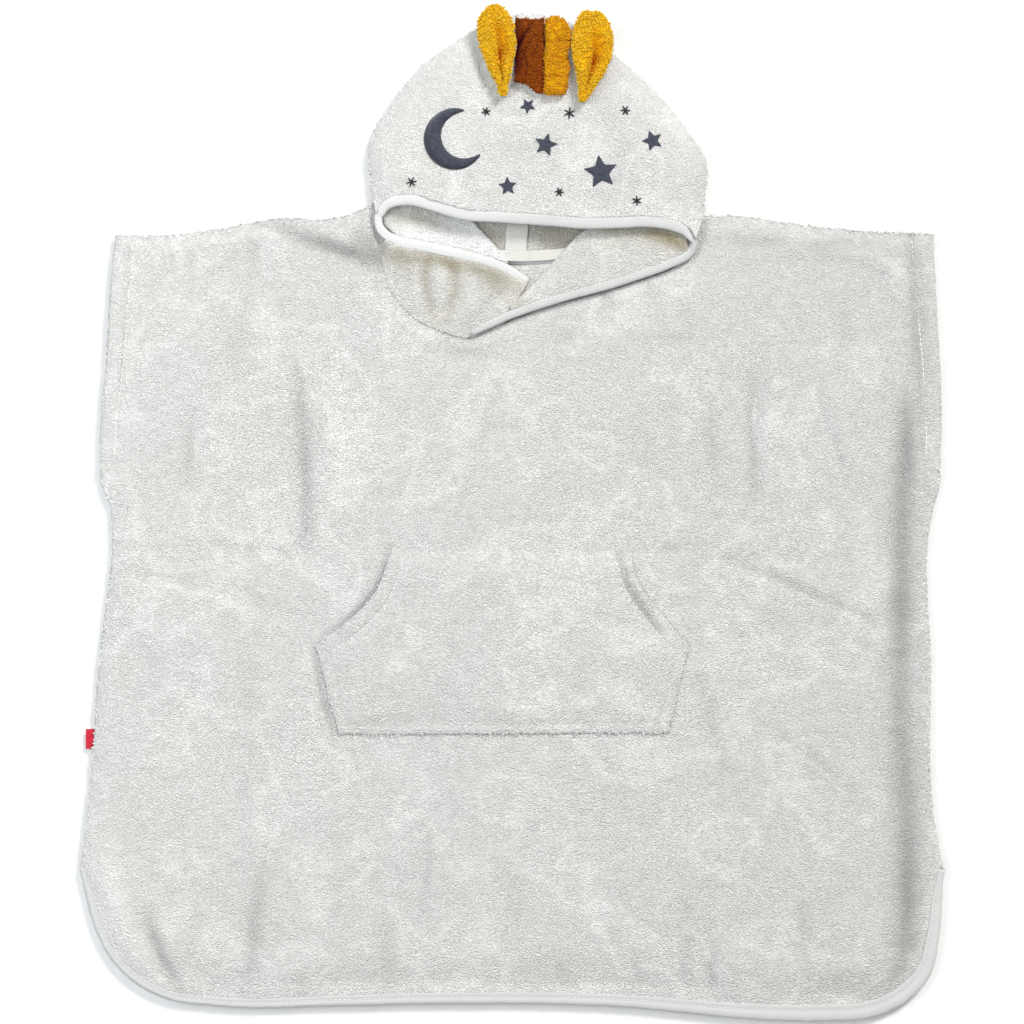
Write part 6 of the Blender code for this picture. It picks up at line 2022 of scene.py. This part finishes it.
def make_ear_loops(number, ear, finish):
    """Curls along an ear's rim and all over its front, where they lean up and out."""
    rim = rim_of(ear_grid(ear, np.zeros(2), 0.0)[0])[::-1]
    place, out = edge_spots(
        rim, lambda points: perch(points) + EAR_FRONT_RISE, EAR_SPACING, 160 + number
    )
    front = bpy.data.objects[f"ear_{ear.name}_front_cloth"]
    spots, ways, shade = spots_over(front, EAR_LOOPS, 170 + number)
    rows, middles, halves = np.array(ear.outline).T
    beside = (spots[:, 0] - np.interp(spots[:, 1], rows, middles)) / np.interp(spots[:, 1], rows, halves)
    lean = np.column_stack((1.5 * beside, np.full(EAR_LOOPS, 0.45), np.zeros(EAR_LOOPS)))
    # curls over the front take more than the painted shade of the cloth under them; the rim's take none
    piece = loops_piece(
        f"ear_{ear.name}_loops",
        np.vstack((place, spots)),
        np.vstack((out, ways)),
        *EAR_CURL,
        165 + number,
        finish,
        lean=np.vstack((0.6 * out, lean)),
        slim=0.55,
        shade=np.concatenate((np.zeros(len(place)), 1.5 * shade)),
    )
    finished(piece, "mustard")


def make_crest_loops(tab, finish):
    """Curls all over a tab of the crest."""
    # the curls take the painted shade of the tab under them, made stronger, and a painted highlight where it
    # is faint
    place, out, shade = spots_over(bpy.data.objects[f"crest_{tab.name}_cloth"], TAB_LOOPS, 180)
    name, shade = f"crest_{tab.name}_loops", 2.2 * shade - 0.45
    piece = loops_piece(
        name, place, out, *TAB_CURL, 185, finish, lean=(0.1, 0.5, 0.0), slim=0.6, shade=shade
    )
    finished(piece, tab.colour)


def make_loops():
    """Curls along the outlines of the body, pocket, hood and ears, and over the ears and the crest."""
    white, mustard, amber, brown = (curls(name, *look) for name, look in CURLS.items())
    edge_loops("body_loops", body_outlines(), (140, 151), BODY_CURL, white)
    hood = (HOOD_ARCH, face_level, HOOD_SPACING), (HOOD_ARCH, LOW_LEVEL, HOOD_BACK_SPACING)
    edge_loops("hood_loops", hood, (152, 154), HOOD_CURL, white)
    make_pocket_loops(white)
    make_neck_loops(white)
    for number, ear in enumerate(EARS):
        make_ear_loops(number, ear, mustard)
    for tab, finish in zip(CREST, (brown, amber)):
        make_crest_loops(tab, finish)


# ---------------------------------------------------------------- stage

LAMPS = (  # name, place, size and colour
    ("key", (2.3, 3.3, 3.6), 1.7, (1.0, 0.98, 0.95)),
    ("fill", (-1.4, 0.3, 1.6), 1.6, (0.90, 0.96, 1.0)),
    ("overhead", (0.0, 0.0, 4.6), 3.0, WHITE),
)
FLOOR_SIZE = 8.0
FLOOR_LEVEL = -0.0004
FLOOR_DARK = (0.94, 0.94, 0.94)
FLOOR_LIGHT = (0.96, 0.96, 0.96)
CAMERA_LENS = 150.0
CAMERA_SENSOR = 36.0
CAMERA_VIEW = 0.7168  # what the frame spans at the level of the cloth
CLOTH_LEVEL = 0.006

def area_light(name, place, size, colour, power):
    """A soft lamp that looks at the poncho and isn't seen itself."""
    data = bpy.data.lights.new(name, "AREA")
    data.shape = "DISK"
    data.size = size
    data.energy = power
    data.color = colour
    lamp = bpy.data.objects.new(name, data)
    lamp.location = place
    lamp.rotation_euler = (-lamp.location).to_track_quat("-Z", "Y").to_euler()
    lamp.visible_camera = False
    bpy.context.scene.collection.objects.link(lamp)


def make_stage():
    sizes = bpy.context.scene.poncho_sizes
    bpy.ops.object.select_all(action="DESELECT")
    bpy.ops.mesh.primitive_plane_add(size=FLOOR_SIZE, location=(0, 0, FLOOR_LEVEL))
    floor = bpy.context.object
    floor.name = "floor"
    bpy.ops.object.transform_apply(location=True)
    made, wire, shader = new_material("studio_floor", 0.7)
    place = wire.add("ShaderNodeTexCoord").outputs["Object"]
    shade = wire.noise(place, 3.0, 2.0).outputs[0]
    wire.tree.links.new(wire.mixed(shade, FLOOR_DARK, FLOOR_LIGHT), shader.inputs["Base Color"])
    floor.data.materials.append(made)
    powers = sizes.key_power, sizes.fill_power, sizes.top_power
    for lamp, power in zip(LAMPS, powers):
        area_light(*lamp, power)
    world = bpy.data.worlds.new("studio")
    world.use_nodes = True
    room = world.node_tree.nodes["Background"].inputs
    room["Color"].default_value = (*WHITE, 1)
    room["Strength"].default_value = sizes.room_light
    bpy.context.scene.world = world
    bpy.context.scene.view_settings.view_transform = "Standard"
    data = bpy.data.cameras.new("camera")
    data.lens = CAMERA_LENS
    data.sensor_width = CAMERA_SENSOR
    camera = bpy.data.objects.new("camera", data)
    camera.location = (0, 0, CAMERA_VIEW * CAMERA_LENS / CAMERA_SENSOR + CLOTH_LEVEL)
    bpy.context.scene.collection.objects.link(camera)
    bpy.context.scene.camera = camera


# ---------------------------------------------------------------- properties, steps and panel


def length_property(name, description, default):
    return bpy.props.FloatProperty(
        name=name, description=description, default=default, min=0.0, unit="LENGTH", precision=5
    )


def colour_property(name, description, default):
    return bpy.props.FloatVectorProperty(
        name=name, description=description, default=default, subtype="COLOR", min=0.0, max=1.0
    )


class PonchoSizes(bpy.types.PropertyGroup):
    """Sizes of the pile and strengths of the lamps."""

    loop_length: length_property("Loop length", "Length of one curl of the pile", 0.0018)
    loop_width: length_property("Loop width", "Width of one curl of the pile", 0.0011)
    pile_relief: length_property("Pile relief", "Height of the curls over the gaps between them", 0.0014)
    fold_depth: bpy.props.FloatProperty(
        name="Fold depth", description="Strength of the front's soft folds", default=1.5, min=0.0
    )
    key_power: bpy.props.FloatProperty(
        name="Key lamp", description="Power of the low lamp", default=219.0, min=0.0, unit="POWER"
    )
    fill_power: bpy.props.FloatProperty(
        name="Fill lamp", description="Power of the wide lamp", default=23.0, min=0.0, unit="POWER"
    )
    top_power: bpy.props.FloatProperty(
        name="Overhead lamp", description="Power of the lamp above", default=36.0, min=0.0, unit="POWER"
    )
    room_light: bpy.props.FloatProperty(
        name="Room light", description="Strength of the light from all round", default=0.30, min=0.0
    )


class PonchoColours(bpy.types.PropertyGroup):
    """Colours of the cloths and threads, each between a dark and a light one."""

    # the gap colours are the pile's colours with painted shade, for the shade that falls in its gaps
    white_gap_shade: colour_property("White gaps", "White terry between its curls", (0.645, 0.645, 0.635))
    white_tip: colour_property("White curls", "White terry on its curls", (0.98, 0.98, 0.975))
    binding_dark: colour_property("Tape shade", "Darker tone of the white tape", (0.67, 0.675, 0.665))
    binding_light: colour_property("Tape", "White tape", (0.74, 0.745, 0.735))
    mustard_gap_shade: colour_property("Mustard gaps", "Mustard terry between its curls", (0.70, 0.27, 0.001))
    mustard_tip: colour_property("Mustard curls", "Mustard terry on its curls", (1.0, 0.60, 0.010))
    brown_gap_shade: colour_property("Brown gaps", "Brown terry between its curls", (0.11, 0.020, 0.001))
    brown_tip: colour_property("Brown curls", "Brown terry on its curls", (0.34, 0.075, 0.004))
    slate_dark: colour_property("Slate shade", "Darker tone of the motifs", (0.035, 0.040, 0.056))
    slate_light: colour_property("Slate", "Lighter tone of the motifs", (0.075, 0.085, 0.115))
    thread_dark: colour_property("Black thread shade", "Darker tone", (0.012, 0.012, 0.016))
    thread_light: colour_property("Black thread", "Lighter tone", (0.035, 0.035, 0.045))
    tape_dark: colour_property("Seam tape shade", "Darker tone of the woven tape", (0.66, 0.65, 0.61))
    tape_light: colour_property("Seam tape", "Lighter tone of the woven tape", (0.74, 0.73, 0.69))
    tab_dark: colour_property("Side tab shade", "Darker tone of the ribbon", (0.45, 0.012, 0.030))
    tab_light: colour_property("Side tab", "Lighter tone of the ribbon", (0.74, 0.035, 0.070))


class Step:
    """What all steps share: each is listed and can be undone."""

    bl_options = {"REGISTER", "UNDO"}


class PONCHO_OT_back_panel(Step, bpy.types.Operator):
    """Make the back with its sleeves"""

    bl_idname = "poncho.back_panel"
    bl_label = "Back panel"

    def execute(self, context):
        make_back_panel()
        return {"FINISHED"}


class PONCHO_OT_front_panel(Step, bpy.types.Operator):
    """Make the front with its folds and turned cuffs"""

    bl_idname = "poncho.front_panel"
    bl_label = "Front panel"

    def execute(self, context):
        make_front_panel()
        return {"FINISHED"}


class PONCHO_OT_hem_tapes(Step, bpy.types.Operator):
    """Make the tapes round the front and back hem"""

    bl_idname = "poncho.hem_tapes"
    bl_label = "Hem tapes"

    def execute(self, context):
        make_hem_tapes()
        return {"FINISHED"}


class PONCHO_OT_pocket(Step, bpy.types.Operator):
    """Make the pouch pocket"""

    bl_idname = "poncho.pocket"
    bl_label = "Pocket"

    def execute(self, context):
        make_pocket()
        return {"FINISHED"}


class PONCHO_OT_hood_backs(Step, bpy.types.Operator):
    """Make the stretch of the hood under the head, with its tapes"""

    bl_idname = "poncho.hood_backs"
    bl_label = "Hood back and tapes"

    def execute(self, context):
        make_hood_backs()
        return {"FINISHED"}


class PONCHO_OT_folded_layers(Step, bpy.types.Operator):
    """Make the layers that are folded away inside the hood"""

    bl_idname = "poncho.folded_layers"
    bl_label = "Folded layers"

    def execute(self, context):
        make_folded_layers()
        return {"FINISHED"}


class PONCHO_OT_flaps(Step, bpy.types.Operator):
    """Make the two throat flaps"""

    bl_idname = "poncho.flaps"
    bl_label = "Throat flaps"

    def execute(self, context):
        make_flaps()
        return {"FINISHED"}


class PONCHO_OT_face(Step, bpy.types.Operator):
    """Make the hood's face panel"""

    bl_idname = "poncho.face"
    bl_label = "Face panel"

    def execute(self, context):
        make_face()
        return {"FINISHED"}


class PONCHO_OT_mouth_tape(Step, bpy.types.Operator):
    """Make the tape round the mouth of the hood"""

    bl_idname = "poncho.mouth_tape"
    bl_label = "Mouth tape"

    def execute(self, context):
        make_mouth_tape()
        return {"FINISHED"}


class PONCHO_OT_ears(Step, bpy.types.Operator):
    """Make the two ears, front and back"""

    bl_idname = "poncho.ears"
    bl_label = "Ears"

    def execute(self, context):
        make_ears()
        return {"FINISHED"}


class PONCHO_OT_crest(Step, bpy.types.Operator):
    """Make the brown and the mustard tab between the ears"""

    bl_idname = "poncho.crest"
    bl_label = "Crest"

    def execute(self, context):
        make_crest()
        return {"FINISHED"}


class PONCHO_OT_motifs(Step, bpy.types.Operator):
    """Make the moon and the stars"""

    bl_idname = "poncho.motifs"
    bl_label = "Moon and stars"

    def execute(self, context):
        make_motifs()
        return {"FINISHED"}


class PONCHO_OT_side_tab(Step, bpy.types.Operator):
    """Make the bare ribbon tab in the side seam"""

    bl_idname = "poncho.side_tab"
    bl_label = "Side tab"

    def execute(self, context):
        make_side_tab()
        return {"FINISHED"}


class PONCHO_OT_stitches(Step, bpy.types.Operator):
    """Make the rows of stitches and the small thread crosses"""

    bl_idname = "poncho.stitches"
    bl_label = "Stitches"

    def execute(self, context):
        make_stitches()
        return {"FINISHED"}


class PONCHO_OT_loops(Step, bpy.types.Operator):
    """Make the loose curls along the edges"""

    bl_idname = "poncho.loops"
    bl_label = "Loose curls"

    def execute(self, context):
        make_loops()
        return {"FINISHED"}


class PONCHO_OT_stage(Step, bpy.types.Operator):
    """Make the floor, lamps and camera"""

    bl_idname = "poncho.stage"
    bl_label = "Stage"

    def execute(self, context):
        make_stage()
        return {"FINISHED"}


STEPS = (
    PONCHO_OT_stage,
    PONCHO_OT_back_panel,
    PONCHO_OT_front_panel,
    PONCHO_OT_hem_tapes,
    PONCHO_OT_pocket,
    PONCHO_OT_hood_backs,
    PONCHO_OT_folded_layers,
    PONCHO_OT_flaps,
    PONCHO_OT_face,
    PONCHO_OT_mouth_tape,
    PONCHO_OT_ears,
    PONCHO_OT_crest,
    PONCHO_OT_motifs,
    PONCHO_OT_side_tab,
    PONCHO_OT_stitches,
    PONCHO_OT_loops,
)


class PONCHO_PT_panel(bpy.types.Panel):
    """Lists the poncho's settings and the steps that make it"""

    bl_idname = "PONCHO_PT_panel"
    bl_label = "Hooded bath poncho"
    bl_space_type = "VIEW_3D"
    bl_region_type = "UI"
    bl_category = "Poncho"

    def draw(self, context):
        for settings in (context.scene.poncho_sizes, context.scene.poncho_colours):
            box = self.layout.box()
            for name in settings.__annotations__:
                box.prop(settings, name)
        for step in STEPS:
            self.layout.operator(step.bl_idname)


CLASSES = (PonchoSizes, PonchoColours, *STEPS, PONCHO_PT_panel)


def register():
    for made in CLASSES:
        bpy.utils.register_class(made)
    bpy.types.Scene.poncho_sizes = bpy.props.PointerProperty(type=PonchoSizes)
    bpy.types.Scene.poncho_colours = bpy.props.PointerProperty(type=PonchoColours)


def unregister():
    del bpy.types.Scene.poncho_colours
    del bpy.types.Scene.poncho_sizes
    for made in reversed(CLASSES):
        bpy.utils.unregister_class(made)


def main():
    register()
    for step in STEPS:
        group, name = step.bl_idname.split(".")
        getattr(getattr(bpy.ops, group), name)()


if __name__ == "__main__":
    main()
